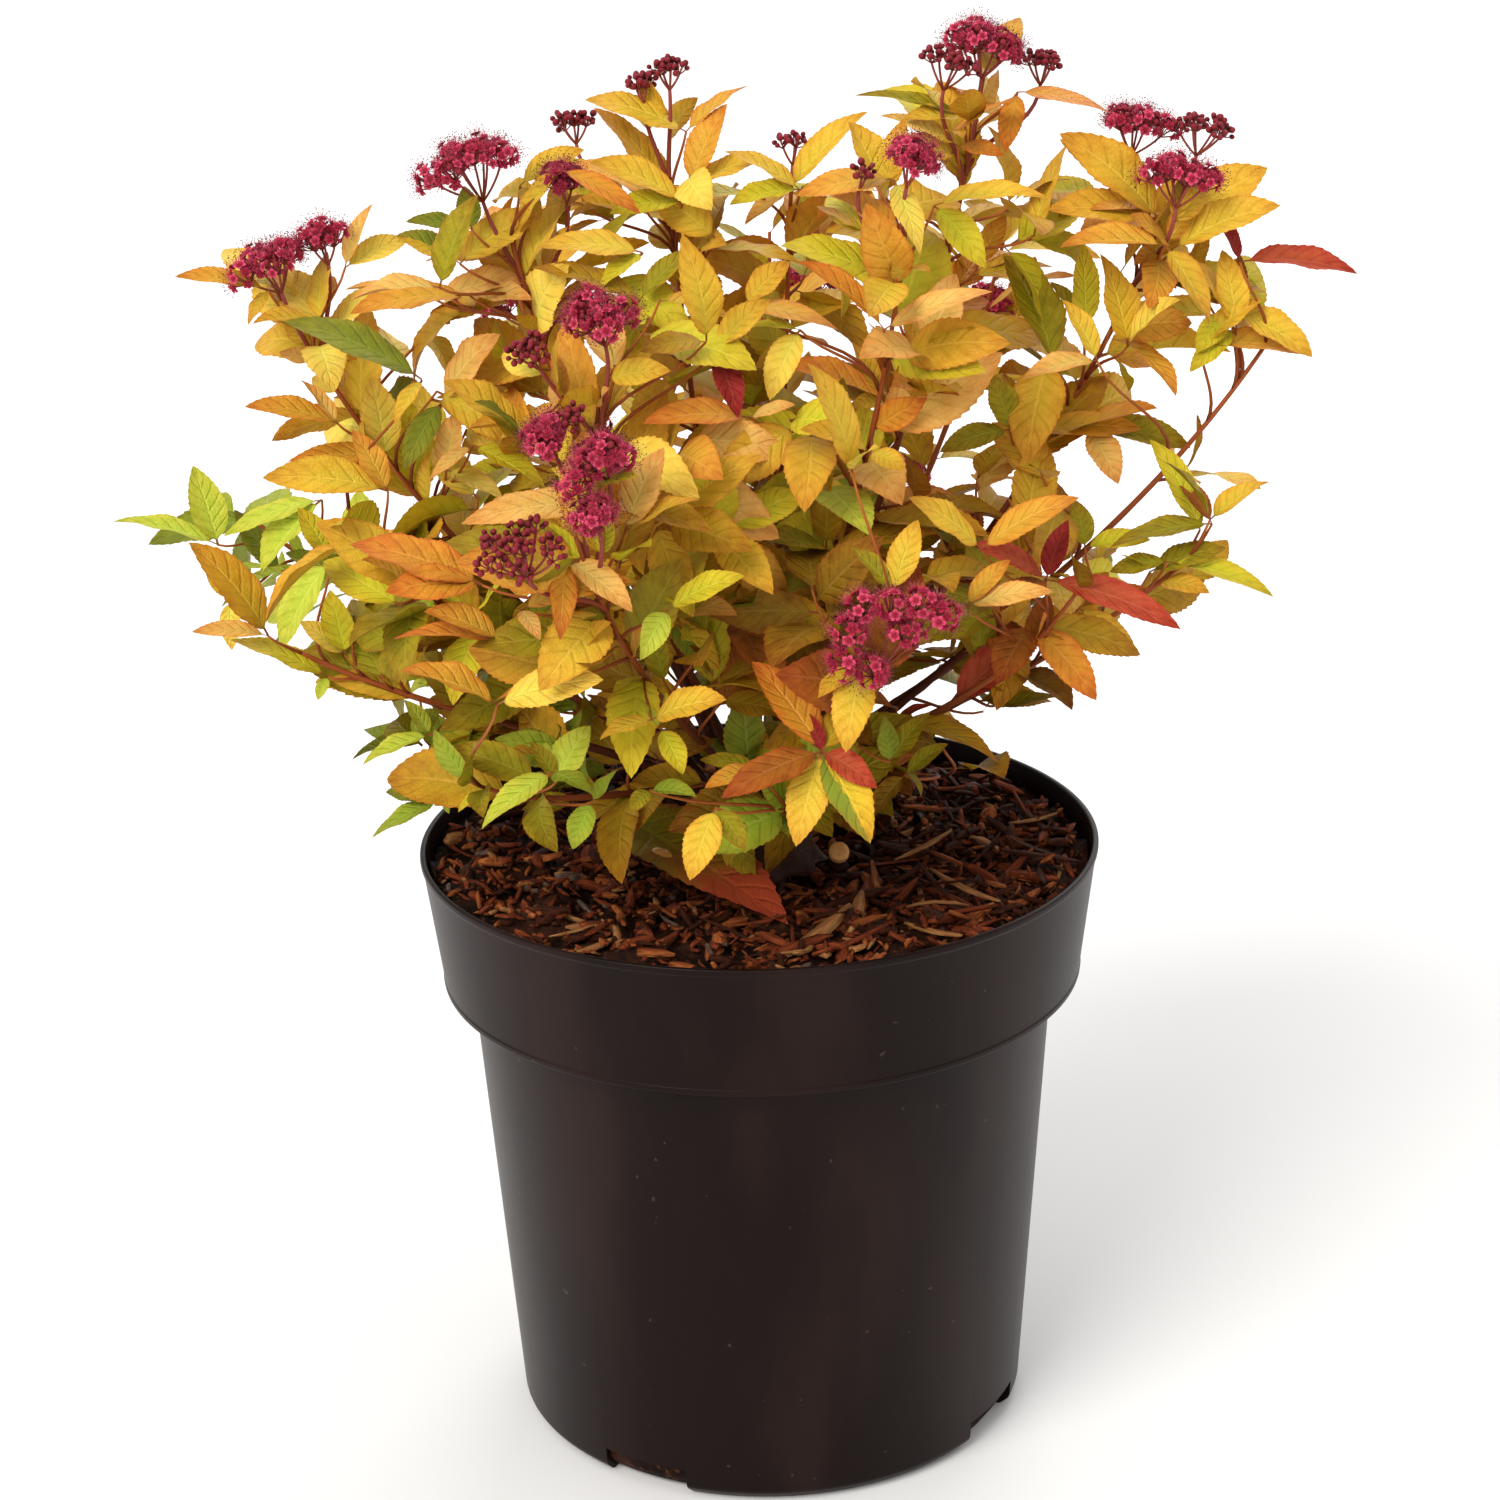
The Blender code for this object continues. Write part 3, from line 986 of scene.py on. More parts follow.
@dataclass
class NurseryPot:
    """The thin-walled pot: a rolled lip, a wide collar, a tapering body and notches in its foot."""

    rim_radius: float = 95 * MM
    height: float = 171 * MM
    wall: float = 1.5 * MM
    collar_height: float = 38 * MM
    collar_foot_share: float = 0.949
    body_top_share: float = 0.867
    body_foot_share: float = 0.767
    foot_chamfer: float = 3 * MM
    lip_height: float = 2.24 * MM
    bead_height: float = 1.6 * MM
    bead_depth: float = 0.25 * MM
    notch_width: float = 26 * MM
    notch_height: float = 8.5 * MM
    notch_depth: float = 13 * MM
    notch_count: int = 4
    first_notch_bearing: float = 240.0
    sides: int = 176
    sharp_from: float = 50.0

    def outline(self, inset: float) -> list[tuple[float, float]]:
        """The CAD's outer wall from rim to foot, moved inwards.

        Args:
            inset: How far inwards.

        Returns:
            Points of (radius, height).
        """
        radius = self.rim_radius
        collar = self.height - self.collar_height
        foot = self.body_foot_share * radius
        return [
            (radius - inset, self.height),
            (self.collar_foot_share * radius - inset, collar + inset),
            (self.body_top_share * radius - inset, collar + inset),
            (foot + 0.2 * MM - inset, self.foot_chamfer + inset),
            (foot - self.foot_chamfer - inset * 0.4, inset),
        ]

    def profile(self) -> np.ndarray:
        """The pot's closed outline: up the outside, over the rolled lip, down the inside.

        The collar's lower edge has a small bead, and every edge is rounded.

        Returns:
            Points of (radius, height), one row each.
        """
        rim, collar, body_top, body_foot, foot = self.outline(0)
        lean = (rim[0] - collar[0]) / self.collar_height
        lip_foot = self.height - self.lip_height
        bead_top = collar[1] + self.bead_height
        bead_out = collar[0] + lean * self.bead_height
        corners = [
            (0, 0, 0),
            (*foot, 0.8 * MM),
            (*body_foot, 1.2 * MM),
            (*body_top, 0.5 * MM),
            (*collar, 0.45 * MM),
            (bead_out, bead_top, 0.3 * MM),
            (bead_out - self.bead_depth, bead_top + 0.4 * MM, 0.2 * MM),
            (rim[0] - lean * self.lip_height - self.bead_depth, lip_foot, 0.3 * MM),
            (rim[0], lip_foot + 0.5 * MM, 0.4 * MM),
            (*rim, 0.6 * MM),
        ]
        roundings = (0.6, 0.5, 0.5, 1.0, 0.5)
        corners += [(*place, by * MM) for place, by in zip(self.outline(self.wall), roundings)]
        return rounded([*corners, (0, self.wall, 0)])

    def cutter(self, bearing: float) -> bpy.types.Object:
        """The box that cuts the drain notch at a bearing.

        Args:
            bearing: The notch's bearing in degrees.

        Returns:
            The box.
        """
        way = around(bearing, 1.0, 0.0)
        side = np.cross(UP, way)
        centre = way * self.body_foot_share * self.rim_radius
        signs = np.array([[x, y, z] for x in (-1, 1) for y in (-1, 1) for z in (-1, 1)], float)
        axes = np.stack([way * self.notch_depth, side * self.notch_width / 2, UP * self.notch_height])
        walls = [(0, 1, 3, 2), (4, 6, 7, 5), (0, 4, 5, 1), (2, 3, 7, 6), (0, 2, 6, 4), (1, 5, 7, 3)]
        mesh = bpy.data.meshes.new("notch")
        mesh.from_pydata((centre + signs @ axes).tolist(), [], walls)
        return linked("notch", mesh)

    def make(self) -> None:
        """Makes the pot, cuts its notches and dresses it."""
        pot = make_piece("nursery_pot", turned(self.profile(), self.sides), PotFinish())
        turns = np.arange(self.notch_count) * 360 / self.notch_count
        boxes = [self.cutter(self.first_notch_bearing + turn) for turn in turns]
        for box in boxes:
            cut = pot.modifiers.new(box.name, "BOOLEAN")
            cut.operation = "DIFFERENCE"
            cut.object = box
        bpy.context.view_layer.update()
        evaluated = pot.evaluated_get(bpy.context.evaluated_depsgraph_get())
        cut_mesh = bpy.data.meshes.new_from_object(evaluated)
        pot.modifiers.clear()
        pot.data = cut_mesh
        without_map(pot)
        cut_mesh.set_sharp_from_angle(angle=math.radians(self.sharp_from))
        for box in boxes:
            bpy.data.objects.remove(box, do_unlink=True)
        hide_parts("pot")


@dataclass
class Splinters(Rows):
    """Thin split pieces, one row of each array a splinter: where it lies, how it points and its sizes."""

    centres: np.ndarray
    ways: np.ndarray
    faces_up: np.ndarray
    lengths: np.ndarray
    widths: np.ndarray
    depths: np.ndarray
    bends: np.ndarray

    def shell(self) -> Shell:
        """All the splinters as one shell.

        A splinter is a four-sided tube that narrows to ragged ends: at the share s of its length, in
        -1 to 1, its width is widths x (1 - |s|^3 x 0.7), and its middle is lifted by bends x s^2.

        Returns:
            The shell.
        """
        stations = np.array([-1.0, -0.55, 0.1, 0.6, 1.0])
        corner = np.array([[1.0, 0.25], [0.15, 1.0], [-1.0, -0.2], [-0.1, -1.0]])
        taper = 1 - 0.7 * np.abs(stations) ** 3
        across = np.cross(self.faces_up, self.ways)
        along = self.lengths[:, None, None] / 2 * stations[:, None] * self.ways[:, None]
        lift = self.bends[:, None, None] * stations[:, None] ** 2 * self.faces_up[:, None]
        middle = self.centres[:, None] + along + lift
        half_width = self.widths[:, None] / 2 * taper
        half_depth = self.depths[:, None] / 2 * (0.35 + 0.65 * taper)
        wide = half_width[:, :, None, None] * across[:, None, None]
        thick = half_depth[:, :, None, None] * self.faces_up[:, None, None]
        walls = middle[:, :, None] + wide * corner[:, :1] + thick * corner[:, 1:]
        poles = [middle[:, :1], middle[:, -1:]]
        points = np.concatenate([walls.reshape(len(walls), -1, 3), *poles], axis=1)
        return spread(Shell(points[0], *tube_faces(len(stations), len(corner))), points)


@dataclass(frozen=True)
class Grade:
    """A grade of bark: how many pieces, and their least and most length, width and depth in mm."""

    count: int
    length: tuple[float, float]
    width: tuple[float, float]
    depth: tuple[float, float]


BARKS = {
    "dark_bark": GrainFinish((0.090, 0.022, 0.007), (0.024, 0.0055, 0.0022)),
    "red_bark": GrainFinish((0.30, 0.062, 0.018), (0.095, 0.018, 0.006)),
    "rust_bark": GrainFinish((0.50, 0.150, 0.040), (0.20, 0.045, 0.012)),
    "tan_wood": GrainFinish((0.52, 0.25, 0.085), (0.24, 0.085, 0.028)),
    "grey_wood": GrainFinish((0.20, 0.135, 0.105), (0.07, 0.042, 0.033)),
}
# Bark kinds' shares: the front left, where the key light falls, is dealt paler, redder kinds as painted
# light, and the rest of the bed darker ones.
LIT_SIDE_SHARES = (0.26, 0.42, 0.22, 0.07, 0.03)
SHADE_SIDE_SHARES = (0.60, 0.27, 0.08, 0.03, 0.02)
STRAND_SHARES = (0.40, 0.33, 0.18, 0.06, 0.03)
SLIVER_ENDS = (
    ((786, 960), (850, 908), 5.2),
    ((849, 936), (862, 893), 3.8),
    ((836, 953), (866, 947), 4.2),
    ((549, 938), (597, 925), 1.7),
    ((905, 925), (962, 938), 3.0),
    ((930, 872), (1000, 905), 2.6),
    ((895, 862), (952, 832), 2.4),
)


@dataclass
class MulchBed:
    """Potting mix under a mulch of shredded bark, fine at the front left and in long strands behind."""

    pot: NurseryPot
    camera: StudioCamera
    top: float = 164 * MM
    uneven: float = 2.3 * MM
    hollow_depth: float = 6 * MM
    hollow_reach: float = 42 * MM
    bank_rise: float = 3.2 * MM
    bank_bearing: float = 250.0
    rings: int = 60
    sides: int = 150
    crumbs: Grade = Grade(2900, (1.2, 6), (0.6, 2.6), (0.4, 1.8))
    chunks: Grade = Grade(420, (5, 12), (2.4, 5.5), (1.0, 2.6))
    strands: Grade = Grade(560, (8, 26), (1.2, 4.0), (0.6, 1.7))
    strand_bearing: float = 20.0
    # The bearing of the front left, whose fine bark is dealt paler kinds as painted light.
    bright_bearing: float = 235.0
    sliver_heights: tuple[float, float] = (168 * MM, 170.5 * MM)
    seed: int = 5

    def height(self, x: np.ndarray, y: np.ndarray) -> np.ndarray:
        """The bed's height: uneven, sunk round the stems and banked up at the front left.

        Args:
            x: The places' X.
            y: The places' Y.

        Returns:
            The height at each place.
        """
        bumps = self.uneven * (0.75 * relief(x, y, 26 * MM, 3) + 0.4 * relief(x, y, 8 * MM, 4))
        out = np.hypot(x, y)
        sinks = (1 - eased(out, 14 * MM, self.hollow_reach)) * eased(out, 9 * MM, 16 * MM)
        near_front = eased(facing(np.stack([x, y], -1), self.bank_bearing), -0.2, 0.9)
        bank = self.bank_rise * near_front * eased(out, 35 * MM, 80 * MM)
        return self.top + bumps - self.hollow_depth * sinks + bank

    def bed(self) -> Shell:
        """The bed's closed solid: the pot's inside, with the uneven top in rings of points.

        Returns:
            The shell.
        """
        wall = self.pot.outline(self.pot.wall + GAP)
        rim, collar = wall[:2]
        edge = collar[0] + (self.top - collar[1]) / (rim[1] - collar[1]) * (rim[0] - collar[0])
        radii = np.linspace(edge, 1.2 * MM, self.rings)
        under = [(0.0, wall[4][1])] + wall[:0:-1]
        profile = np.array([*under, *((radius, self.top) for radius in radii), (0.0, self.top)])
        shell = turned(profile, self.sides)
        top = shell.points[:, 2] >= self.top - 1e-6
        shell.points[top, 2] = self.height(shell.points[top, 0], shell.points[top, 1])
        return shell

    def scatter(self, chance: np.random.Generator, grade: Grade) -> Splinters:
        """Splinters strewn over the bed, each lying along it within the wall.

        Args:
            chance: The seeded random numbers.
            grade: How many, and their sizes.

        Returns:
            The splinters.
        """
        count = grade.count
        bearings = chance.uniform(0, 2 * math.pi, count)
        ranges = (grade.length, grade.width, grade.depth)
        lengths, widths, depths = (chance.uniform(*sizes, count) * MM for sizes in ranges)
        room = self.pot.rim_radius - 3.6 * MM
        out = np.sqrt(chance.uniform(0.02, 1, count)) * (room - 0.3 * lengths)
        yaw = chance.uniform(0, 2 * math.pi, count)
        along_wall = bearings + math.pi / 2 + chance.uniform(-0.35, 0.35, count)
        yaw = np.where(out + lengths / 2 > room, along_wall, yaw)
        pitch = chance.normal(0, 0.17, count) + chance.normal(0, 0.35, count) * (lengths < 8 * MM)
        ways = np.stack([np.cos(pitch) * np.cos(yaw), np.cos(pitch) * np.sin(yaw), np.sin(pitch)], 1)
        roll = chance.normal(0, 0.6, count)
        level = square_to(np.broadcast_to(UP, ways.shape), ways)
        faces_up = swung(roll, level, np.cross(level, ways))
        x, y = out * np.cos(bearings), out * np.sin(bearings)
        reach = np.abs(ways[:, 2]) * lengths / 2
        z = self.height(x, y) + chance.uniform(-0.3, 2.2, count) * MM + 0.5 * reach
        z = np.minimum(z, self.pot.height + 0.8 * MM - reach)
        bends = chance.normal(0, 0.05, count) * lengths
        return Splinters(np.stack([x, y, z], 1), ways, faces_up, lengths, widths, depths, bends)

    def named_slivers(self) -> Splinters:
        """The few large pale slivers that catch the eye at the front, each from its two seen ends.

        Returns:
            The splinters.
        """
        low, high = self.sliver_heights
        starts = np.array([self.camera.point_at_height(row[0], low) for row in SLIVER_ENDS])
        stops = np.array([self.camera.point_at_height(row[1], high) for row in SLIVER_ENDS])
        ways = unit(stops - starts)
        faces_up = square_to(np.broadcast_to(UP, ways.shape), ways)
        lengths = np.linalg.norm(stops - starts, axis=1)
        widths = np.array([row[2] for row in SLIVER_ENDS]) * MM
        middles = (starts + stops) / 2
        return Splinters(middles, ways, faces_up, lengths, widths, widths * 0.4, lengths * 0.03)

    def make(self) -> None:
        """Makes the bed and its splinters, one piece a colour of bark."""
        bed = make_piece("potting_mix_bed", self.bed(), MixFinish())
        without_map(bed)
        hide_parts("potting_mix")
        chance = np.random.default_rng(self.seed)
        fine = Splinters.together([self.scatter(chance, self.crumbs), self.scatter(chance, self.chunks)])
        strands = self.scatter(chance, self.strands)
        lean = facing(strands.centres, self.strand_bearing)
        strands = strands.picked(lean + chance.uniform(-0.9, 0.9, len(lean)) > -0.35)
        # Painted light: the front left's fine bark takes the lit side's paler, redder kinds.
        is_painted_lit = facing(fine.centres, self.bright_bearing) > 0.2
        kinds = len(BARKS)
        lit_side_kind = chance.choice(kinds, size=len(is_painted_lit), p=LIT_SIDE_SHARES)
        shade_side_kind = chance.choice(kinds, size=len(is_painted_lit), p=SHADE_SIDE_SHARES)
        fine_kind = np.where(is_painted_lit, lit_side_kind, shade_side_kind)
        strand_kind = chance.choice(kinds, size=len(strands.centres), p=STRAND_SHARES)
        for kind, (name, finish) in enumerate(BARKS.items()):
            shells = [fine.picked(fine_kind == kind).shell(), strands.picked(strand_kind == kind).shell()]
            if name == "tan_wood":
                shells.append(self.named_slivers().shell())
            make_piece(f"mulch_{name}", joined(shells), finish)


# Stems


@dataclass(frozen=True)
class Route:
    """A cubic curve of four controls: l^3 a + 3 l^2 s b + 3 l s^2 c + s^3 d, where l = 1 - s."""

    controls: np.ndarray

    def at(self, shares: np.ndarray | float) -> np.ndarray:
        """The curve's points.

        Args:
            shares: Shares s of the way.

        Returns:
            A point for each share.
        """
        s = np.asarray(shares, float)[..., None]
        a, b, c, d = self.controls
        return (1 - s) ** 3 * a + 3 * (1 - s) ** 2 * s * b + 3 * (1 - s) * s**2 * c + s**3 * d

    def ways(self, shares: np.ndarray | float) -> np.ndarray:
        """The curve's directions.

        Args:
            shares: Shares s of the way.

        Returns:
            A unit vector for each share.
        """
        s = np.asarray(shares, float)[..., None]
        a, b, c, d = self.controls
        return unit((1 - s) ** 2 * (b - a) + 2 * (1 - s) * s * (c - b) + s**2 * (d - c))

    def length(self) -> float:
        """The curve's length."""
        return float(np.linalg.norm(np.diff(self.at(np.linspace(0, 1, 40)), axis=0), axis=1).sum())

    def every(self, spacing: float, start: float, end: float) -> np.ndarray:
        """The shares that lie a spacing apart along the curve.

        Args:
            spacing: The distance between them.
            start: The first share.
            end: The share that they stay under.

        Returns:
            The shares.
        """
        shares = np.linspace(start, end, 200)
        steps = np.linalg.norm(np.diff(self.at(shares), axis=0), axis=1)
        travelled = np.concatenate([[0], np.cumsum(steps)])
        return np.interp(np.arange(0, travelled[-1], spacing), travelled, shares)


def limb(start: np.ndarray, way: np.ndarray, end: np.ndarray, end_way: np.ndarray) -> Route:
    """A route that leaves its start along one direction and arrives at its end along another."""
    reach = np.linalg.norm(end - start) * 0.36
    return Route(np.stack([start, start + unit(way) * reach, end - unit(end_way) * reach, end]))


@dataclass(frozen=True)
class Shoot:
    """A leafy shoot: its bearing in degrees, its reach, height and width in millimetres, and its colours.

    These sizes are the CAD's own. Its leaves start a little before the share leafy_from of its route.
    """

    name: str
    bearing: float
    reach: float
    height: float
    width: float
    palette: Palette = SUNLIT
    leafy_from: float = 0.5
    has_stem: bool = True


FRONT_SHOOTS = [
    Shoot("top", 17, 68, 380, 66, EMBER),
    Shoot("top_back", 125, 37, 373, 58),
    Shoot("middle_top", 67, 33, 352, 58),
    Shoot("front_top", 316, 58, 355, 58, EMBER),
    Shoot("left_top", 182, 66, 364, 62),
    Shoot("right_top", 12, 122, 353, 66, EMBER),
    Shoot("far_left_top", 179, 126, 332, 56, PEACHY),
    Shoot("far_right_top", 1, 149, 324, 36, EMBER, 0.62),
    Shoot("front_left_top", 236, 74, 322, 62, PEACHY),
    Shoot("front_left", 247, 110, 290, 60, EMBER),
    Shoot("left_middle", 196, 116, 288, 58, MEADOW, 0.56),
    Shoot("front_right", 291, 98, 264, 60, SHADED, 0.56),
    Shoot("right_middle", 354, 134, 270, 42, SUNLIT, 0.62),
    Shoot("front_right_middle", 327, 100, 258, 54, REDDENED, 0.6),
    Shoot("left_low", 187, 148, 251, 42, MEADOW, 0.6),
    Shoot("far_left_spray", 158, 170, 262, 42, LIMY, 0.66),
    Shoot("front_left_low", 222, 100, 214, 58, MEADOW, 0.54),
    Shoot("front_low", 276, 72, 206, 56, GREENISH, 0.5, False),
    Shoot("right_foot", 333, 74, 204, 38, SHADED, 0.6, False),
    Shoot("left_foot", 178, 96, 200, 42, GREENISH, 0.6, False),
]
BACK_SHOOTS = [
    *(Shoot(f"back{side}", at, 112, 320, 70) for side, at in (("_right", 48), ("", 86), ("_left", 128))),
    *(
        Shoot(f"back{side}_low", at, 122, 248, 66, MEADOW, 0.56)
        for side, at in (("_right", 26), ("", 72), ("_left", 116))
    ),
]
SHOOTS = FRONT_SHOOTS + BACK_SHOOTS
STEMMED = [shoot for shoot in SHOOTS if shoot.has_stem]

OLD_BARK = BarkFinish(
    (0.022, 0.009, 0.006), (0.050, 0.020, 0.012), (0.085, 0.036, 0.021), (0.14, 0.075, 0.05)
)
YOUNG_BARK = BarkFinish(
    (0.028, 0.009, 0.006), (0.085, 0.021, 0.009), (0.32, 0.075, 0.018), (0.26, 0.11, 0.05)
)
TWIG_BARK = BarkFinish((0.12, 0.026, 0.009), (0.28, 0.062, 0.014), (0.46, 0.13, 0.024), (0.38, 0.18, 0.07))
# A fresh cut face is pale, and these colours are raised past that to stand in for light it lacks under the
# crown: partly painted light.
LIT_CUT_WOOD = GrainFinish((0.98, 0.52, 0.18), (0.84, 0.37, 0.10), 0.55)


@dataclass
class Frame:
    """The woody frame: a knobbly crown, the cut stub beside it and the stems that fan out above."""

    mix_top: float = 164 * MM
    crown_flare: float = 19 * MM
    crown_neck: float = 14.5 * MM
    crown_height: float = 11 * MM
    crown_sides: int = 72
    stub_place: tuple[float, float] = (22 * MM, -9 * MM)
    stub_radius: float = 3.0 * MM
    stub_height: float = 6.6 * MM
    stub_bow: float = 4.5 * MM
    stub_lean: float = 28.0
    stub_sides: int = 20
    stub_steps: int = 9
    foot_radius: float = 1.8 * MM
    tip_radius: float = 0.5 * MM
    outer_ring: float = 11.2 * MM
    inner_ring: float = 5.6 * MM
    inner_reach: float = 75 * MM
    upright_start: float = 26 * MM
    bow_reach: float = 0.66
    bow_height: float = 0.42
    stem_sides: int = 12
    stem_steps: int = 64
    stem_sunk: float = 1.5 * MM
    node_spacing: float = 9 * MM

    def feet(self) -> dict[str, np.ndarray]:
        """Where each stem leaves the crown: steep ones on an inner ring, the others on an outer one.

        Returns:
            The foot of each stem, by its shoot's name.
        """
        top = self.mix_top + self.crown_height + 2 * GAP
        found = {}
        for is_inner, radius in ((True, self.inner_ring), (False, self.outer_ring)):
            ring = [s for s in STEMMED if (s.reach * MM < self.inner_reach) == is_inner]
            ring.sort(key=lambda shoot: shoot.bearing)
            step = 360 / len(ring)
            start = sum(s.bearing - i * step for i, s in enumerate(ring)) / len(ring)
            for place, shoot in enumerate(ring):
                found[shoot.name] = around(start + place * step, radius, top)
        return found

    def routes(self) -> dict[str, Route]:
        """Every shoot's route, from its foot on the crown to its tip, as the CAD has it.

        Returns:
            The routes by their shoots' names.
        """
        feet = self.feet()
        hidden_foot = np.array([0, 0, self.mix_top + self.crown_height])
        found = {}
        for shoot in SHOOTS:
            foot = feet.get(shoot.name, hidden_foot)
            tip = around(shoot.bearing, shoot.reach * MM, shoot.height * MM)
            bow = foot + (tip - foot) * [self.bow_reach, self.bow_reach, self.bow_height]
            found[shoot.name] = Route(np.stack([foot, foot + UP * self.upright_start, bow, tip]))
        return found

    def stem_shell(self, routes: dict[str, Route], ends: dict[str, float]) -> Shell:
        """The stems: round, tapering, ridged along their length, and swollen at each leaf's node.

        The radius goes from foot_radius to tip_radius by the share to the power 0.8, a little under
        the CAD's, times 1 plus ridges and cracks that run along, a bump every node_spacing, and a
        flare over the lowest few millimetres.

        Args:
            routes: Every shoot's route.
            ends: The share of its route at which each stem ends.

        Returns:
            The shell.
        """
        mine = [(routes[shoot.name], ends[shoot.name]) for shoot in STEMMED]
        shares = np.linspace(0, 1, self.stem_steps) * np.array([end for _, end in mine])[:, None]
        paths = np.stack([route.at(row) for (route, _), row in zip(mine, shares)])
        paths[:, 0] -= UP * self.stem_sunk
        travelled = shares * np.array([route.length() for route, _ in mine])[:, None]
        starts = (np.arange(len(mine)) * 1.7)[:, None]
        even = self.foot_radius + (self.tip_radius - self.foot_radius) * shares**0.8
        beat = np.cos(travelled * 2 * math.pi / self.node_spacing + starts)
        node = 0.13 * np.maximum(0, beat) ** 6
        flare = 0.5 * np.exp(-travelled / (4 * MM))
        turns = circle(self.stem_sides)
        ridges = 0.05 * np.sin(3 * turns + travelled[:, :, None] * 90 + starts[:, None])
        cracks = 0.04 * np.sin(5 * turns + travelled[:, :, None] * 410 + starts[:, None])
        swell = 1 + node[:, :, None] + ridges + cracks * (1 - shares[:, :, None]) + flare[:, :, None]
        return tubes(paths, even[:, :, None] * swell, self.stem_sides)

    def crown_shell(self) -> Shell:
        """The crown: the CAD's flared outline, with knobs and furrows.

        Returns:
            The shell.
        """
        foot = self.mix_top - 0.5 * MM
        top = self.mix_top + self.crown_height
        corners = [(0, foot, 0), (self.crown_flare, foot, 0.4 * MM)]
        for turn in np.linspace(0, math.pi / 2, 9)[1:8]:
            radius = self.crown_flare - (self.crown_flare - self.crown_neck) * math.sin(turn)
            corners.append((radius, top - (top - foot) * math.cos(turn) ** 1.2, 0))
        corners += [(self.crown_neck * share, top + 0.2 * MM, 0) for share in (0.96, 0.8, 0.6, 0.4, 0.2)]
        shell = turned(rounded([*corners, (0, top + 0.3 * MM, 0)]), self.crown_sides)
        x, y, z = shell.points.T
        knobs = relief(x, y, 12 * MM, 8) * 0.06 + 0.05 * np.sin(9 * np.arctan2(y, x) + 160 * z)
        shell.points[:, :2] *= (1 + knobs - 0.05)[:, None]
        shell.points[:, 2] += np.where(z > foot + 1 * MM, relief(x, y, 9 * MM, 9) * 0.8 * MM, 0)
        return shell

    def stub_shell(self) -> tuple[Shell, Shell]:
        """The cut stub's barky side, and the pale slanting face on its top.

        The side is a tube whose top ring follows the slope, and the face is a thin disc a little
        smaller than it, with rings of points that show the year rings.

        Returns:
            The side and the face.
        """
        x, y = self.stub_place
        heights = np.linspace(0, self.stub_height, self.stub_steps)
        path = np.array([x, y, self.mix_top]) + heights[:, None] * UP
        turns = circle(self.stub_sides)
        uneven = 1 + 0.05 * np.sin(3 * turns) + 0.04 * np.sin(7 * turns + heights[:, None] * 400)
        waist = 1 - 0.3 * np.sin(math.pi * heights[:, None] / self.stub_height)
        side = tubes(path[None], (self.stub_radius * waist * uneven)[None], self.stub_sides)
        slope = math.tan(math.radians(self.stub_lean))
        high = (side.points[:, 2] - self.mix_top) / self.stub_height
        side.points[:, 2] += np.where(high > 0.3, (side.points[:, 1] - y) * slope * high, 0)
        side.points[:, 1] -= self.stub_bow * np.clip(high, 0, 1) ** 1.5
        profile = [(0, -0.3), (0.93, -0.3), (0.97, 0.0), (0.9, 0.16), (0.6, 0.2), (0.3, 0.17), (0, 0.2)]
        face = turned(np.array(profile) * self.stub_radius, self.stub_sides)
        face.points[:, 2] += face.points[:, 1] * slope
        face.points += [x, y - self.stub_bow, self.mix_top + self.stub_height]
        return side, face

    def make(self, routes: dict[str, Route], ends: dict[str, float]) -> None:
        """Makes and dresses the crown, the stub and the stems.

        Args:
            routes: Every shoot's route.
            ends: The share of its route at which each stem ends.
        """
        crown = make_piece("woody_crown_bark", self.crown_shell(), OLD_BARK)
        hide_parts("woody_crown")
        side, face = self.stub_shell()
        stub = make_piece("cut_stub_bark", side, OLD_BARK)
        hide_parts("cut_stub")
        make_piece("cut_stub_face", face, LIT_CUT_WOOD)
        stems = make_piece("stems", self.stem_shell(routes, ends), YOUNG_BARK)
        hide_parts(*[f"stem_{shoot.name}" for shoot in STEMMED])


# Leaves


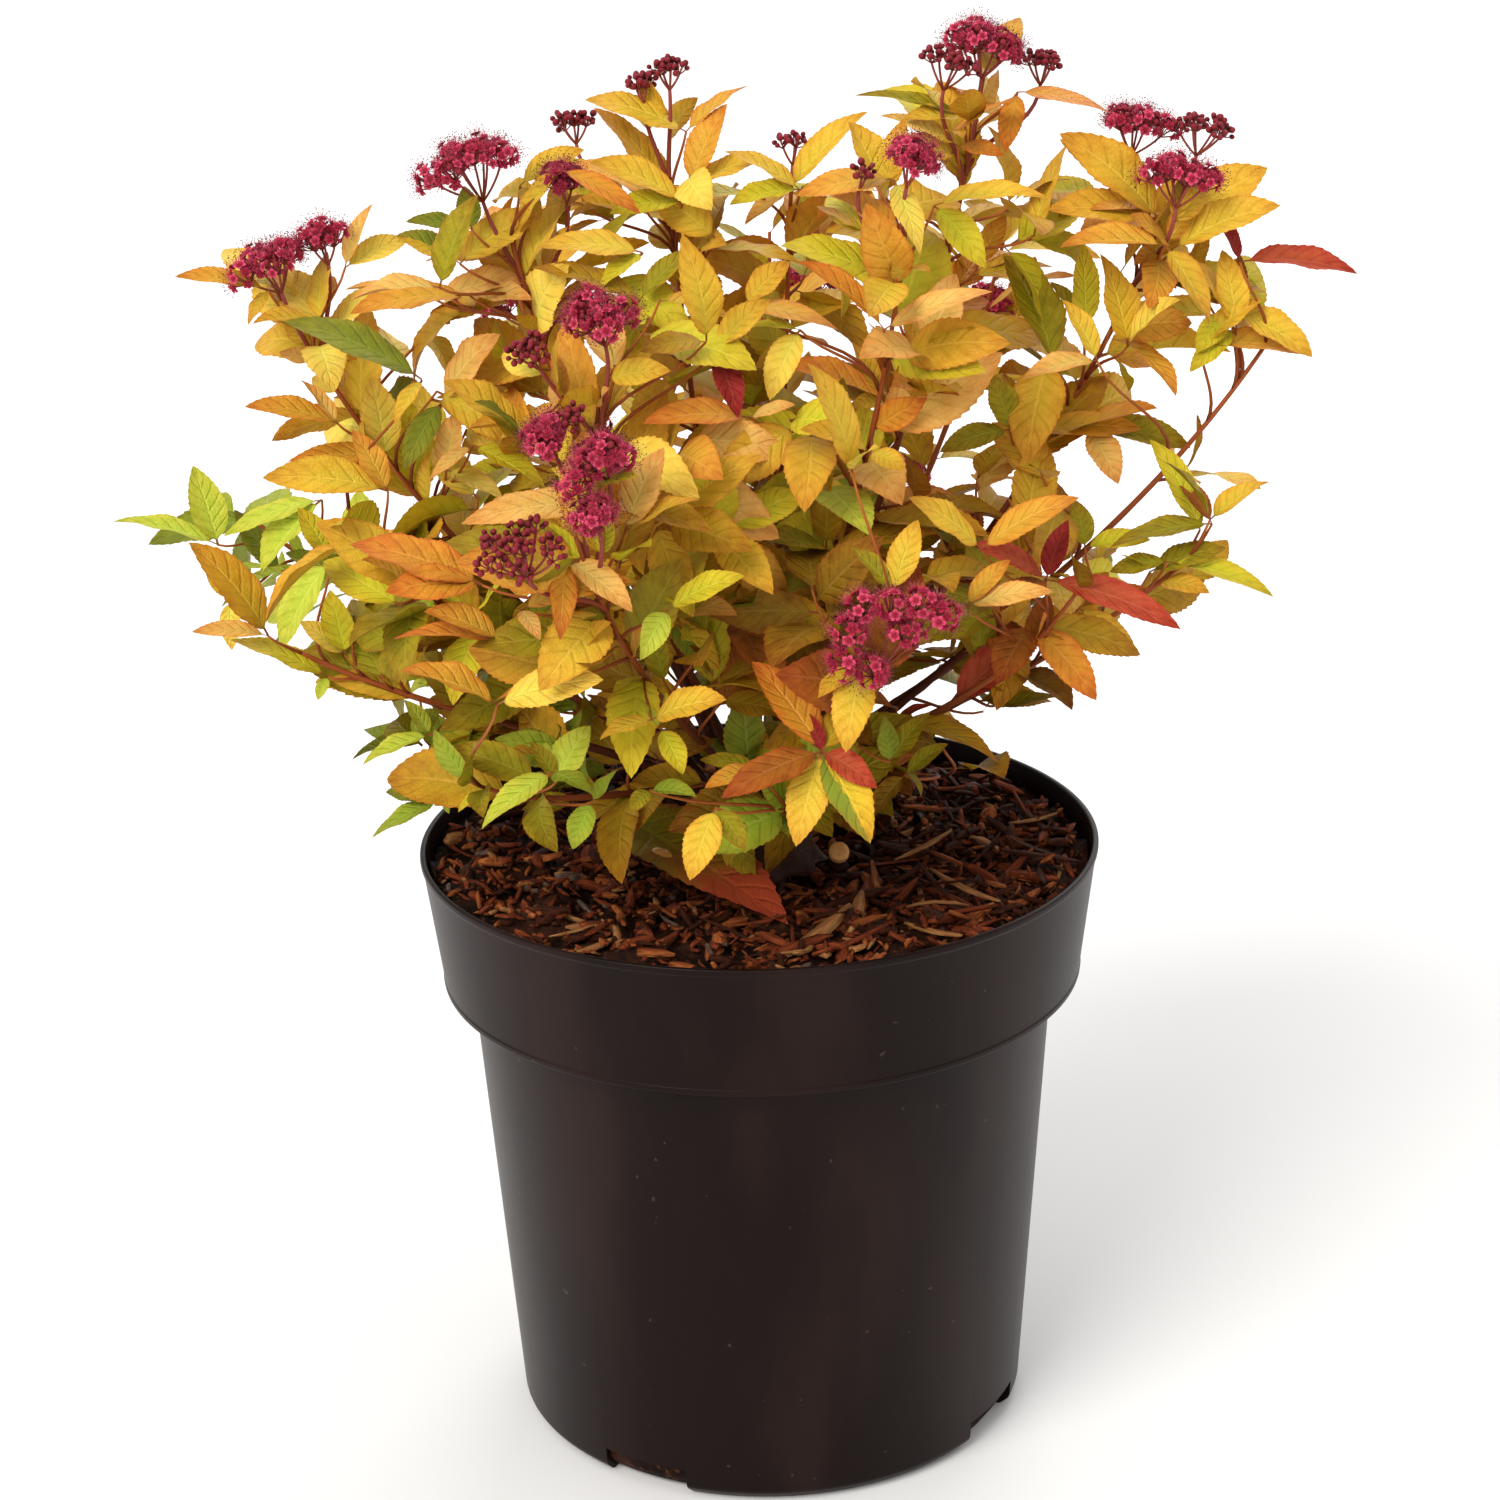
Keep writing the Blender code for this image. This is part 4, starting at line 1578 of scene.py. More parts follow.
@dataclass
class LeafPattern:
    """The mesh of one flat leaf, from which every leaf is bent.

    Rows of five points cross the leaf from its stalk to its tip, and a tooth stands out between
    the ends of every two rows. A blade's half width at the share b of its length is proportional
    to b^rise x (1 - b)^fall, so it is widest below its middle and runs out to a drawn point.
    """

    stalk_share: float = 0.08
    stalk_width: float = 0.07
    rows: int = 13
    tooth: float = 0.07
    tooth_lean: float = 0.8
    first_row: float = 0.05
    last_row: float = 0.965
    rise: float = 0.70
    fall: float = 0.98
    edge_place: float = 0.45

    def half_width(self, blade: np.ndarray) -> np.ndarray:
        """The blade's half width, where the widest is 1.

        Args:
            blade: Shares b of the blade's length.

        Returns:
            The half width at each share.
        """
        peak = self.rise / (self.rise + self.fall)
        top = peak**self.rise * (1 - peak) ** self.fall
        outline = blade**self.rise * (1 - blade) ** self.fall / top
        return np.maximum(outline, self.stalk_width * (1 - blade))

    def build(self) -> tuple[Shell, np.ndarray, np.ndarray]:
        """The flat leaf.

        Returns:
            The shell, each point's share of the length, and its offset from the rib.
        """
        blades = np.concatenate([[0.0], np.linspace(self.first_row, self.last_row, self.rows)])
        shares = np.concatenate([[0.0], self.stalk_share + (1 - self.stalk_share) * blades])
        halves = np.concatenate([[self.stalk_width], self.half_width(blades)])
        columns = np.array([-1.0, -0.5, 0.0, 0.5, 1.0])
        wide = len(columns)
        total = len(shares)
        tooth_rows = np.arange(2, total - 1)
        tooth_blade = blades[1:-1] + self.tooth_lean * (blades[2:] - blades[1:-1])
        tooth_share = self.stalk_share + (1 - self.stalk_share) * tooth_blade
        tooth_half = self.half_width(tooth_blade)
        tooth_half = tooth_half + self.tooth * (0.35 + 0.65 * tooth_half)
        tip = total * wide
        left = tip + 1 + np.arange(len(tooth_rows))
        right = left + len(tooth_rows)
        share = np.concatenate([np.repeat(shares, wide), [1.0], tooth_share, tooth_share])
        offset = np.concatenate([(halves[:, None] * columns).ravel(), [0.0], -tooth_half, tooth_half])
        row_place = np.tile(0.5 + columns * self.edge_place, total)
        across = np.concatenate([row_place, [0.5], np.zeros(len(left)), np.ones(len(left))])
        i, j = cells(total - 1, wide - 1)
        corner = i * wide + j
        walls = np.stack([corner, corner + 1, corner + wide + 1, corner + wide], 1)
        end = (total - 1) * wide + np.arange(wide - 1)
        point = np.stack([end, end + 1, np.full(len(end), tip), np.full(len(end), -1)], 1)
        gone = np.full(len(tooth_rows), -1)
        near, far = tooth_rows * wide, (tooth_rows + 1) * wide
        left_teeth = np.stack([near, far, left, gone], 1)
        right_teeth = np.stack([near + wide - 1, right, far + wide - 1, gone], 1)
        faces = np.concatenate([walls, point, left_teeth, right_teeth])
        flat = np.stack([offset, share, np.zeros(len(share))], 1)
        return with_places(flat, faces, np.stack([across, share], 1)), share, offset


@dataclass
class LeafBatch(Rows):
    """Leaves, one row of each array a leaf.

    Each has its base, the way its rib sets out, the way its upper side faces, its length, its full
    width as a share of that, and how far it arches, folds, twists and waves. An owner is the number
    of the twig that bears the leaf, or -1 for a stem.
    """

    bases: np.ndarray
    ways: np.ndarray
    uppers: np.ndarray
    lengths: np.ndarray
    widths: np.ndarray
    arches: np.ndarray
    folds: np.ndarray
    twists: np.ndarray
    waves: np.ndarray
    phases: np.ndarray
    tints: np.ndarray
    ranks: np.ndarray
    owners: np.ndarray

    def rib(self, *shares: float) -> np.ndarray:
        """Points on the ribs: base + length x (sin(a s) / a x way - (1 - cos(a s)) / a x upper).

        Args:
            shares: Shares s of the leaf's length.

        Returns:
            An array of leaves x shares x 3, where a is each leaf's arch in radians.
        """
        share = np.array(shares)
        arch = np.where(np.abs(self.arches) < 1e-3, 1e-3, self.arches)[:, None]
        along = np.sin(arch * share) / arch
        down = (1 - np.cos(arch * share)) / arch
        bend = along[..., None] * self.ways[:, None] - down[..., None] * self.uppers[:, None]
        return self.bases[:, None] + self.lengths[:, None, None] * bend

    def shell(self, pattern: LeafPattern) -> Shell:
        """The leaves as one shell.

        A point is its rib's point, plus its offset across the leaf, plus a lift. The lift is the
        offset times the fold, and a wave along the edge that grows with the offset squared.

        Args:
            pattern: The flat leaf.

        Returns:
            The shell.
        """
        template, share, offset = pattern.build()
        template.places[..., 0] = 0.5 + (template.places[..., 0] - 0.5) * 0.998
        arch = self.arches[:, None] * share
        turn = self.twists[:, None] * share
        sides = np.cross(self.ways, self.uppers)[:, None]
        face = swung(arch, self.uppers[:, None], self.ways[:, None])
        side, face = swung(turn, sides, face), swung(turn, face, -sides)
        half = (self.lengths * self.widths / 2)[:, None]
        fold = self.folds[:, None]
        out = half * offset * np.cos(fold)
        ripple = np.sin(share * 2 * math.pi * 2.3 + self.phases[:, None] + np.where(offset > 0, 0.0, 1.9))
        lift = half * (np.abs(offset) - 0.22 * offset**2) * np.sin(fold)
        lift += half * self.waves[:, None] * offset**2 * ripple
        return spread(template, self.rib(*share) + out[..., None] * side + lift[..., None] * face)


class Rank(Enum):
    """How a leaf came to be placed: by the growth rule, in a bunch, or where the photograph has it."""

    GROWN = 0
    BUNCHED = 1
    SEEN = 2


# The photograph's gaps, each a row of its middle's pixel and its radius in pixels: those of sky, those
# of mulch, and the dark ones among the lowest leaves.
SKY_WINDOWS = np.array([
    (222, 342, 34), (283, 378, 24), (178, 448, 30), (296, 458, 18), (160, 605, 32), (195, 665, 28),
    (312, 728, 44), (374, 700, 12), (462, 462, 9), (500, 112, 22), (602, 140, 15), (645, 150, 16),
    (925, 30, 18), (1022, 142, 20), (968, 232, 12), (1068, 322, 14), (1345, 325, 44), (1300, 395, 40),
    (1248, 400, 34), (1212, 405, 18), (1255, 450, 26), (1165, 412, 14), (1318, 492, 32), (1128, 505, 30),
    (1092, 520, 16), (1145, 545, 14), (1282, 560, 24), (1228, 640, 44), (1165, 690, 48), (1112, 745, 40),
    (1030, 735, 34), (905, 697, 15), (958, 700, 12), (950, 425, 22), (972, 438, 20), (930, 470, 12),
    (768, 228, 12), (350, 252, 16), (235, 230, 20), (560, 90, 14), (330, 512, 10), (392, 158, 16),
    (660, 38, 12), (262, 216, 10), (198, 300, 24), (232, 418, 18), (158, 472, 18), (176, 582, 14),
    (228, 704, 30), (362, 792, 12), (1326, 286, 22), (1282, 528, 14), (1108, 664, 14), (760, 108, 14),
    (1070, 318, 14), (590, 142, 10), (238, 292, 12), (720, 62, 12), (980, 160, 12), (1130, 640, 16),
    (1085, 668, 12), (262, 690, 12), (985, 715, 12), (400, 315, 9), (240, 445, 14), (262, 672, 14),
    (742, 218, 14), (700, 182, 8), (1065, 310, 16), (1205, 268, 10), (1276, 500, 14), (1232, 556, 12),
    (1150, 610, 12), (460, 456, 10), (420, 320, 10), (900, 690, 14), (838, 146, 8), (262, 455, 18),
    (250, 362, 14), (1252, 205, 8), (1218, 262, 10), (1073, 345, 10), (752, 128, 12), (630, 100, 9),
    (1118, 606, 10), (1095, 680, 12), (992, 205, 10), (960, 8, 12), (735, 205, 10), (362, 775, 16),
])
MULCH_WINDOWS = np.array([
    (756, 846, 16), (838, 862, 20), (450, 850, 26), (500, 870, 40), (560, 900, 42), (640, 915, 32),
    (700, 930, 30), (770, 945, 28), (840, 900, 44), (905, 870, 48), (970, 830, 44), (1030, 820, 50),
    (955, 780, 22),
])
RECESSES = np.array([
    (718, 722, 20), (699, 768, 12), (622, 762, 10), (690, 685, 14), (735, 640, 12), (576, 785, 12),
    (560, 715, 10), (470, 700, 10), (905, 650, 14), (640, 665, 10),
])


@dataclass
class LeafStore:
    """Gathers leaves as the plant grows, and leaves out those that would hide what the photo shows."""

    camera: StudioCamera
    seed: int
    low_margin: float = 15 * MM
    high_margin: float = 8 * MM
    shortened_share: float = 0.8
    behind_margin: float = 2 * MM
    batches: list[LeafBatch] = field(default_factory=list)
    rank: Rank = Rank.GROWN
    owner: int = -1

    def __post_init__(self) -> None:
        """Starts the random numbers."""
        self.chance = np.random.default_rng(self.seed)

    def add(
        self,
        bases: np.ndarray,
        ways: np.ndarray,
        lengths: np.ndarray,
        tints: list[Tint],
        uppers: np.ndarray | None = None,
        width: float = 0.43,
        arch: float = 0.75,
    ) -> None:
        """Adds leaves, each turned so that its upper side faces the light.

        Args:
            bases: Where they grow.
            ways: The ways their ribs set out.
            lengths: Their lengths.
            tints: Their tints.
            uppers: What their upper sides face, or None for the light above and outside the plant.
            width: Their usual full width as a share of their length.
            arch: How far they usually arch, in radians.
        """
        count = len(bases)
        chance = self.chance
        ways = unit(ways)
        if uppers is None:
            light = 0.8 * UP + 0.5 * outward(bases, 1e-6) + [-0.12, -0.35, 0]
            uppers = light + chance.normal(0, 0.3, (count, 3))
        batch = LeafBatch(
            bases,
            ways,
            square_to(uppers, ways),
            lengths,
            width * chance.uniform(0.84, 1.14, count),
            arch * chance.uniform(0.35, 1.45, count),
            chance.uniform(0.08, 0.55, count),
            chance.normal(0, 0.4, count),
            chance.uniform(0.02, 0.12, count),
            chance.uniform(0, 2 * math.pi, count),
            np.array([TINTS.index(tint) for tint in tints]),
            np.full(count, self.rank.value),
            np.full(count, self.owner),
        )
        self.batches.append(batch)

    def within_box(self, leaves: LeafBatch, lowest: float, rim: float) -> LeafBatch:
        """The leaves about inside the CAD's box and clear of the pot and mulch.

        A leaf that reaches past the box is shortened by a fifth, up to three times.

        Args:
            leaves: The leaves.
            lowest: The least height over the pot.
            rim: The pot's radius.

        Returns:
            The leaves that are kept.
        """
        low, high = np.array(CAD_LOW) - self.low_margin, np.array(CAD_HIGH) + self.high_margin
        for _ in range(3):
            tips = leaves.rib(1.0)[:, 0]
            strays = ((tips < low) | (tips > high)).any(axis=1)
            leaves.lengths = np.where(strays, leaves.lengths * self.shortened_share, leaves.lengths)
        ribs = leaves.rib(0.0, 0.35, 0.7, 1.0)
        is_over = np.hypot(ribs[..., 0], ribs[..., 1]) < rim
        sinks = (is_over & (ribs[..., 2] < lowest)).any(axis=1)
        return leaves.picked(~sinks & ~strays)

    def clear_of(self, leaves: LeafBatch, windows: np.ndarray) -> LeafBatch:
        """The leaves whose ribs don't cross a window, apart from those placed from the photograph.

        Args:
            leaves: The leaves.
            windows: The windows, a row each of the pixel and the radius.

        Returns:
            The leaves that are kept.
        """
        pixels, _ = self.camera.seen(leaves.rib(0.2, 0.35, 0.5, 0.65, 0.8, 0.95))
        gaps = np.linalg.norm(pixels[:, :, None] - windows[:, :2], axis=-1) - windows[:, 2]
        return leaves.picked((gaps > 0).all(axis=(1, 2)) | (leaves.ranks == Rank.SEEN.value))

    def clear_before(self, leaves: LeafBatch, targets: list[np.ndarray], radii: np.ndarray) -> LeafBatch:
        """The leaves that don't stand before some targets, apart from those placed from the photograph.

        Args:
            leaves: The leaves.
            targets: The targets' points.
            radii: Each target's radius in pixels.

        Returns:
            The leaves that are kept.
        """
        pixels, distance = self.camera.seen(leaves.rib(0.15, 0.3, 0.45, 0.6, 0.75, 0.95))
        target_pixels, target_distance = self.camera.seen(np.array(targets))
        gaps = np.linalg.norm(pixels[:, :, None] - target_pixels, axis=-1) - radii
        is_before = distance[:, :, None] < target_distance + self.behind_margin
        hides = ((gaps < 0) & is_before).any(axis=(1, 2))
        return leaves.picked(~hides | (leaves.ranks == Rank.SEEN.value))


# Flower heads


class HeadForm(Enum):
    """How a head's clusters are laid out, and the share of its flowers that are open."""

    FLAT = 0.86
    ROUND = 0.95
    BUDS = 0.0


FLAT, ROUND, BUDS = HeadForm


@dataclass(frozen=True)
class Head:
    """A flower head: where the photograph shows its middle, its depth and its width in millimetres.

    A faded one is darker. One on the far side has no pixel.
    """

    pixel: Pixel | None
    depth: float
    width: float
    clusters: int
    form: HeadForm = FLAT
    is_faded: bool = False
    cluster_pixels: tuple[Pixel, ...] = ()


CRESCENT = ((943, 613), (922, 602), (892, 606), (907, 632), (862, 605), (850, 630), (844, 661), (872, 673))
HEADS = [
    Head((270, 260), 0, 24, 6),
    Head((322, 237), 6, 17, 4),
    Head((470, 160), 0, 33, 9),
    Head((560, 180), 0, 14, 3, ROUND, True),
    Head((641, 82), 30, 9, 3, BUDS),
    Head((668, 66), 28, 12, 5, BUDS),
    Head((573, 119), 50, 14, 5, BUDS),
    Head((794, 142), 30, 11, 3, BUDS),
    Head((986, 42), 20, 25, 7),
    Head((950, 62), 8, 17, 6, BUDS),
    Head((1044, 60), 40, 14, 5, BUDS),
    Head((1138, 122), 50, 24, 6),
    Head((1202, 126), 45, 20, 7, BUDS),
    Head((1181, 174), 0, 23, 6),
    Head((913, 160), -40, 16, 5, ROUND),
    Head((863, 170), -40, 8, 2, BUDS),
    Head((598, 314), -60, 23, 7),
    Head((528, 350), -60, 14, 5, BUDS),
    Head((545, 436), -90, 14, 4),
    Head((572, 418), -88, 8, 2, BUDS),
    Head((603, 457), -100, 17, 5, ROUND),
    Head((594, 514), -110, 12, 3),
    Head((575, 482), -104, 7, 1),
    Head((516, 550), -110, 25, 12, BUDS),
    Head((893, 634), -100, 40, 8, ROUND, cluster_pixels=CRESCENT),
]

# The far side's heads, each a row of its bearing in degrees, its reach, height and width in millimetres
# and its clusters.
BACK_HEADS = [
    (52, 118, 300, 24, 6),
    (66, 130, 270, 20, 5),
    (84, 122, 302, 28, 7),
    (100, 130, 280, 18, 4),
    (124, 120, 304, 26, 7),
    (70, 142, 238, 18, 4),
    (112, 138, 256, 24, 6),
    (92, 144, 246, 16, 4),
]

STALK_RED = FlowerFinish((0.26, 0.060, 0.028), (0.30, 0.065, 0.055), 0.4)
PEDICEL_RED = FlowerFinish((0.28, 0.07, 0.05), (0.34, 0.06, 0.09))
# Lighter and darker copies of one petal finish: partly a real spread of tone, partly painted highlight and
# shade.
LIT_PETAL = FlowerFinish((0.30, 0.006, 0.030), (0.80, 0.090, 0.185))
SHADED_PETAL = FlowerFinish((0.13, 0.002, 0.010), (0.48, 0.026, 0.066))
FADED_PETAL = FlowerFinish((0.09, 0.003, 0.010), (0.30, 0.022, 0.045), 0.5)
FILAMENT_PINK = FlowerFinish((0.48, 0.025, 0.070), (0.70, 0.12, 0.20))
ANTHER_DARK = FlowerFinish((0.060, 0.010, 0.020), (0.16, 0.035, 0.05), 0.5)
HEART_RED = FlowerFinish((0.18, 0.012, 0.025), (0.40, 0.07, 0.07), 0.4)
BUD_RED = FlowerFinish((0.075, 0.010, 0.010), (0.24, 0.024, 0.034), 0.26, 0.30)


def ball(rings: int, sides: int) -> Shell:
    """A small ball of unit radius: rings of points between two poles.

    Args:
        rings: How many rings.
        sides: How many points each has.

    Returns:
        The shell.
    """
    heights = np.cos(np.linspace(math.pi, 0, rings + 2))[1:-1]
    shell = tubes((heights[:, None] * UP)[None], np.sqrt(1 - heights**2)[None], sides)
    shell.points[-2:, 2] = [-1, 1]
    return shell


@dataclass
class Blossom:
    """All the flower heads: stalks that branch twice, open florets with long stamens, and buds."""

    floret_radius: float = 1.75 * MM
    bud_radius: float = 0.92 * MM
    cluster_radius: float = 4.5 * MM
    bud_cluster_radius: float = 2.7 * MM
    stalk_radius: float = 0.6 * MM
    ray_radius: float = 0.34 * MM
    pedicel_radius: float = 0.18 * MM
    florets_a_cluster: int = 15
    buds_a_cluster: int = 8
    stamens: int = 12
    stamen_length: float = 1.7
    filament_ring: float = 0.06
    anther_size: float = 0.105
    heart_size: tuple[float, float, float] = (0.26, 0.26, 0.20)
    bud_height_share: float = 1.08
    bright_share: float = 0.5
    seed: int = 23
    rays: list[np.ndarray] = field(default_factory=list)
    pedicels: list[np.ndarray] = field(default_factory=list)
    florets: dict[bool, list[np.ndarray]] = field(default_factory=lambda: {False: [], True: []})
    buds: list[np.ndarray] = field(default_factory=list)

    def __post_init__(self) -> None:
        """Starts the random numbers."""
        self.chance = np.random.default_rng(self.seed)

    def cluster_offsets(self, head: Head) -> np.ndarray:
        """Where a head's clusters stand about its middle, in a unit disc with a slight dome.

        They follow the sunflower rule, turn x golden angle at the square root of the number.

        Args:
            head: The head.

        Returns:
            One row of three a cluster.
        """
        number = np.arange(head.clusters)
        out = np.sqrt((number + (0.35 if head.clusters > 3 else 0.5)) / head.clusters)
        turns = number * GOLDEN_TURN + self.chance.uniform(0, 6)
        dome = (0.9 if head.form is ROUND else 0.3) * (0.6 - out**2)
        jitter = self.chance.normal(0, 0.08, (head.clusters, 3))
        return np.stack([out * np.cos(turns), out * np.sin(turns), dome], 1) + jitter

    def grow(
        self, head: Head, middle: np.ndarray, axis: np.ndarray, seen_centres: np.ndarray | None
    ) -> np.ndarray:
        """Grows one head and returns the point that its stalk comes up to.

        Args:
            head: The head.
            middle: Its middle.
            axis: The way it faces.
            seen_centres: The middles of its clusters, or None for the sunflower rule.

        Returns:
            The head's foot.
        """
        radius = self.bud_cluster_radius if head.form is BUDS else self.cluster_radius
        span = max(head.width * MM / 2 - radius * 0.8, 0.6 * MM)
        centres = seen_centres
        if centres is None:
            centres = middle + (self.cluster_offsets(head) * span) @ np.stack([*sides_of(axis), axis])
        foot = middle - axis * (head.width * MM * 0.24 + 3.5 * MM)
        ways = unit(centres - (foot - axis * 7 * MM) + axis * 3 * MM)
        bases = centres - ways * radius * 0.75
        reach = bases - foot
        level = reach - (reach @ axis)[:, None] * axis
        self.rays.append(bowed(foot, foot + reach * 0.5 + level * 0.16, bases, 6))
        for base, centre, way in zip(bases, centres, ways):
            self.grow_cluster(head, base, centre, way)
        return foot

    def grow_cluster(self, head: Head, base: np.ndarray, centre: np.ndarray, way: np.ndarray) -> None:
        """Grows one dome of florets or buds on fine stalks.

        The florets stand on a ball's upper three fifths by the sunflower rule, facing out.

        Args:
            head: The head that the cluster belongs to.
            base: Where its stalks part.
            centre: The middle of its dome.
            way: The way the dome faces.
        """
        chance = self.chance
        is_bud_head = head.form is BUDS
        usual = self.buds_a_cluster if is_bud_head else self.florets_a_cluster
        reach = self.bud_cluster_radius if is_bud_head else self.cluster_radius * 0.9
        count = round(usual * chance.uniform(0.85, 1.15))
        number = np.arange(count) + 0.5
        rise = 1 - number / count * 1.25
        turns = number * GOLDEN_TURN + chance.uniform(0, 6)
        flat = np.sqrt(np.maximum(1 - rise**2, 0))
        out = flat[:, None] * swung(turns, *sides_of(way))
        out = unit(out + rise[:, None] * way + chance.normal(0, 0.1, (count, 3)))
        radius = reach * chance.uniform(0.78, 1.12, count)
        places = centre - way * reach * 0.2 + out * radius[:, None]
        is_open = chance.random(count) < head.form.value
        self.pedicels.append(bowed(base, base + (places - base) * 0.5 + out * 0.5 * MM, places, 4))
        rows = np.concatenate([places, out], axis=1)
        self.florets[head.is_faded].append(rows[is_open])
        self.buds.append(rows[~is_open])

    def petals_shell(self) -> Shell:
        """Five round cupped petals of unit radius.

        A petal's rows stand at three distances from the middle, each with a half width and a
        height, and its end point closes its outer row in a rounded end.

        Returns:
            The shell.
        """
        reach = np.array([0.16, 0.48, 0.80])
        half = np.array([0.10, 0.34, 0.36])
        rise = np.array([0.02, 0.10, 0.16])
        end = np.array([1.02, 0.0, 0.24])
        x = np.repeat(reach, 3) - np.tile([0.05, 0, 0.05], 3) * np.repeat([0, 0.4, 1], 3)
        y = np.outer(half, [-1.0, 0.0, 1.0]).ravel()
        z = np.repeat(rise, 3) + np.tile([0.10, 0.0, 0.10], 3)
        rows = np.concatenate([np.stack([x, y, z], 1), end[None]])
        i, j = cells(2, 2)
        walls = np.stack([i * 3 + j, (i + 1) * 3 + j, (i + 1) * 3 + j + 1, i * 3 + j + 1], 1)
        faces = np.concatenate([walls, [[6, 9, 7, -1], [7, 9, 8, -1]]])
        places = np.stack([0.5 + rows[:, 1] / 0.75, np.clip(rows[:, 0] / end[0], 0, 1)], 1)
        first = swung(circle(5), np.array([1.0, 0, 0]), np.array([0, 1.0, 0]))
        level = np.broadcast_to(UP, first.shape)
        frames = np.stack([first, np.cross(level, first), level], 1)
        return copies(with_places(rows, faces, places), np.zeros((5, 3)), frames, np.ones(5))

    def stamen_rods(self) -> tuple[np.ndarray, np.ndarray]:
        """The stamens about a floret of unit radius, splayed by the sunflower rule.

        Returns:
            Their feet and their ends, one row each.
        """
        number = np.arange(self.stamens) + 0.5
        turns = number * GOLDEN_TURN
        lean = np.radians(8 + 52 * np.sqrt(number / self.stamens))
        ways = np.stack([np.sin(lean) * np.cos(turns), np.sin(lean) * np.sin(turns), np.cos(lean)], 1)
        lengths = self.stamen_length + 0.35 * np.sin(number * 2.4)
        return ways * 0.12, ways * lengths[:, None]

    def filaments_shell(self) -> Shell:
        """The stamens' fine stalks: three-sided spikes that end at a point.

        Returns:
            The shell.
        """
        feet, ends = self.stamen_rods()
        side, other = sides_of(unit(ends - feet))
        ring = swung(circle(3), side[:, None], other[:, None])
        points = np.concatenate([feet[:, None] + ring * self.filament_ring, ends[:, None]], axis=1)
        faces = np.array([[0, 1, 3, -1], [1, 2, 3, -1], [2, 0, 3, -1]])
        places = np.array([[0.0, 0.0], [0.5, 0.0], [1.0, 0.0], [0.5, 1.0]])
        return spread(with_places(points[0], faces, places), points)

    def anther_shell(self) -> Shell:
        """The grain at a stamen's end: two three-sided pyramids, base to base.

        Returns:
            The shell.
        """
        ring = swung(circle(3), np.array([1.0, 0, 0]), np.array([0, 1.0, 0]))
        points = np.concatenate([ring, [[0, 0, 1.1], [0, 0, -1.1]]]) * self.anther_size
        upper = [[0, 1, 3, -1], [1, 2, 3, -1], [2, 0, 3, -1]]
        lower = [[1, 0, 4, -1], [2, 1, 4, -1], [0, 2, 4, -1]]
        places = np.array([[0.0, 0.5], [0.5, 0.5], [1.0, 0.5], [0.5, 1.0], [0.5, 0.0]])
        return with_places(points, np.array(upper + lower), places)

    def frames_of(self, ways: np.ndarray) -> np.ndarray:
        """A frame for each way, turned at random about it, with the way as its third axis."""
        first = swung(self.chance.uniform(0, 2 * math.pi, len(ways)), *sides_of(ways))
        return np.stack([first, np.cross(ways, first), ways], axis=1)

    def make(self, stalks: list[np.ndarray]) -> None:
        """Makes and dresses every flower piece, each kind joined.

        Args:
            stalks: The paths of the heads' main stalks.
        """
        chance = self.chance
        main = np.stack(stalks)
        taper = self.stalk_radius * np.linspace(1.25, 0.85, main.shape[1])
        rays, pedicels = np.concatenate(self.rays), np.concatenate(self.pedicels)
        stalk_shells = [
            tubes(main, np.tile(taper, (len(main), 1)), 7),
            tubes(rays, np.full(rays.shape[:2], self.ray_radius), 5),
        ]
        pedicel_shell = tubes(pedicels, np.full(pedicels.shape[:2], self.pedicel_radius), 4)
        make_piece("flower_stalks", joined(stalk_shells), STALK_RED)
        make_piece("flower_pedicels", pedicel_shell, PEDICEL_RED)
        fresh, faded = (np.concatenate(self.florets[is_faded]) for is_faded in (False, True))
        # Half the fresh florets at random take the lighter finish and half the darker: partly a real spread
        # of tone, partly painted highlight and shade.
        is_painted_lit = chance.random(len(fresh)) < self.bright_share
        looks = {
            "bright": (fresh[is_painted_lit], LIT_PETAL),
            "deep": (fresh[~is_painted_lit], SHADED_PETAL),
            "faded": (faded, FADED_PETAL),
        }
        petals = self.petals_shell()
        whole = []
        for word, (rows, finish) in looks.items():
            frames = self.frames_of(rows[:, 3:])
            sizes = self.floret_radius * chance.uniform(0.82, 1.1, len(rows))
            whole.append((rows[:, :3], frames, sizes))
            make_piece(f"petals_{word}", copies(petals, *whole[-1]), finish)
        florets = [np.concatenate(parts) for parts in zip(*whole)]
        _, ends = self.stamen_rods()
        level = np.tile(np.eye(3), (len(ends), 1, 1))
        anthers = copies(self.anther_shell(), ends, level, np.ones(len(ends)))
        heart = ball(2, 6)
        heart.points *= self.heart_size
        make_piece("stamen_filaments", copies(self.filaments_shell(), *florets), FILAMENT_PINK)
        make_piece("stamen_anthers", copies(anthers, *florets), ANTHER_DARK)
        make_piece("flower_hearts", copies(heart, *florets), HEART_RED)
        rows = np.concatenate(self.buds)
        bud = ball(4, 7)
        bud.points[:, 2] *= self.bud_height_share
        sizes = self.bud_radius * chance.uniform(0.72, 1.12, len(rows))
        bud_shell = copies(bud, rows[:, :3], self.frames_of(rows[:, 3:]), sizes)
        make_piece("flower_buds", bud_shell, BUD_RED)


# Sprays and bunches of leaves that the photograph shows plainly


@dataclass(frozen=True)
class Blade:
    """One leaf of a spray: the pixel of its tip, how much nearer or farther than its base, its tint.

    Toward is the depth of its tip less its base's, in millimetres, and width the leaf's full width
    as a share of its length.
    """

    tip: Pixel
    toward: float
    tint: Tint
    width: float = 0.4


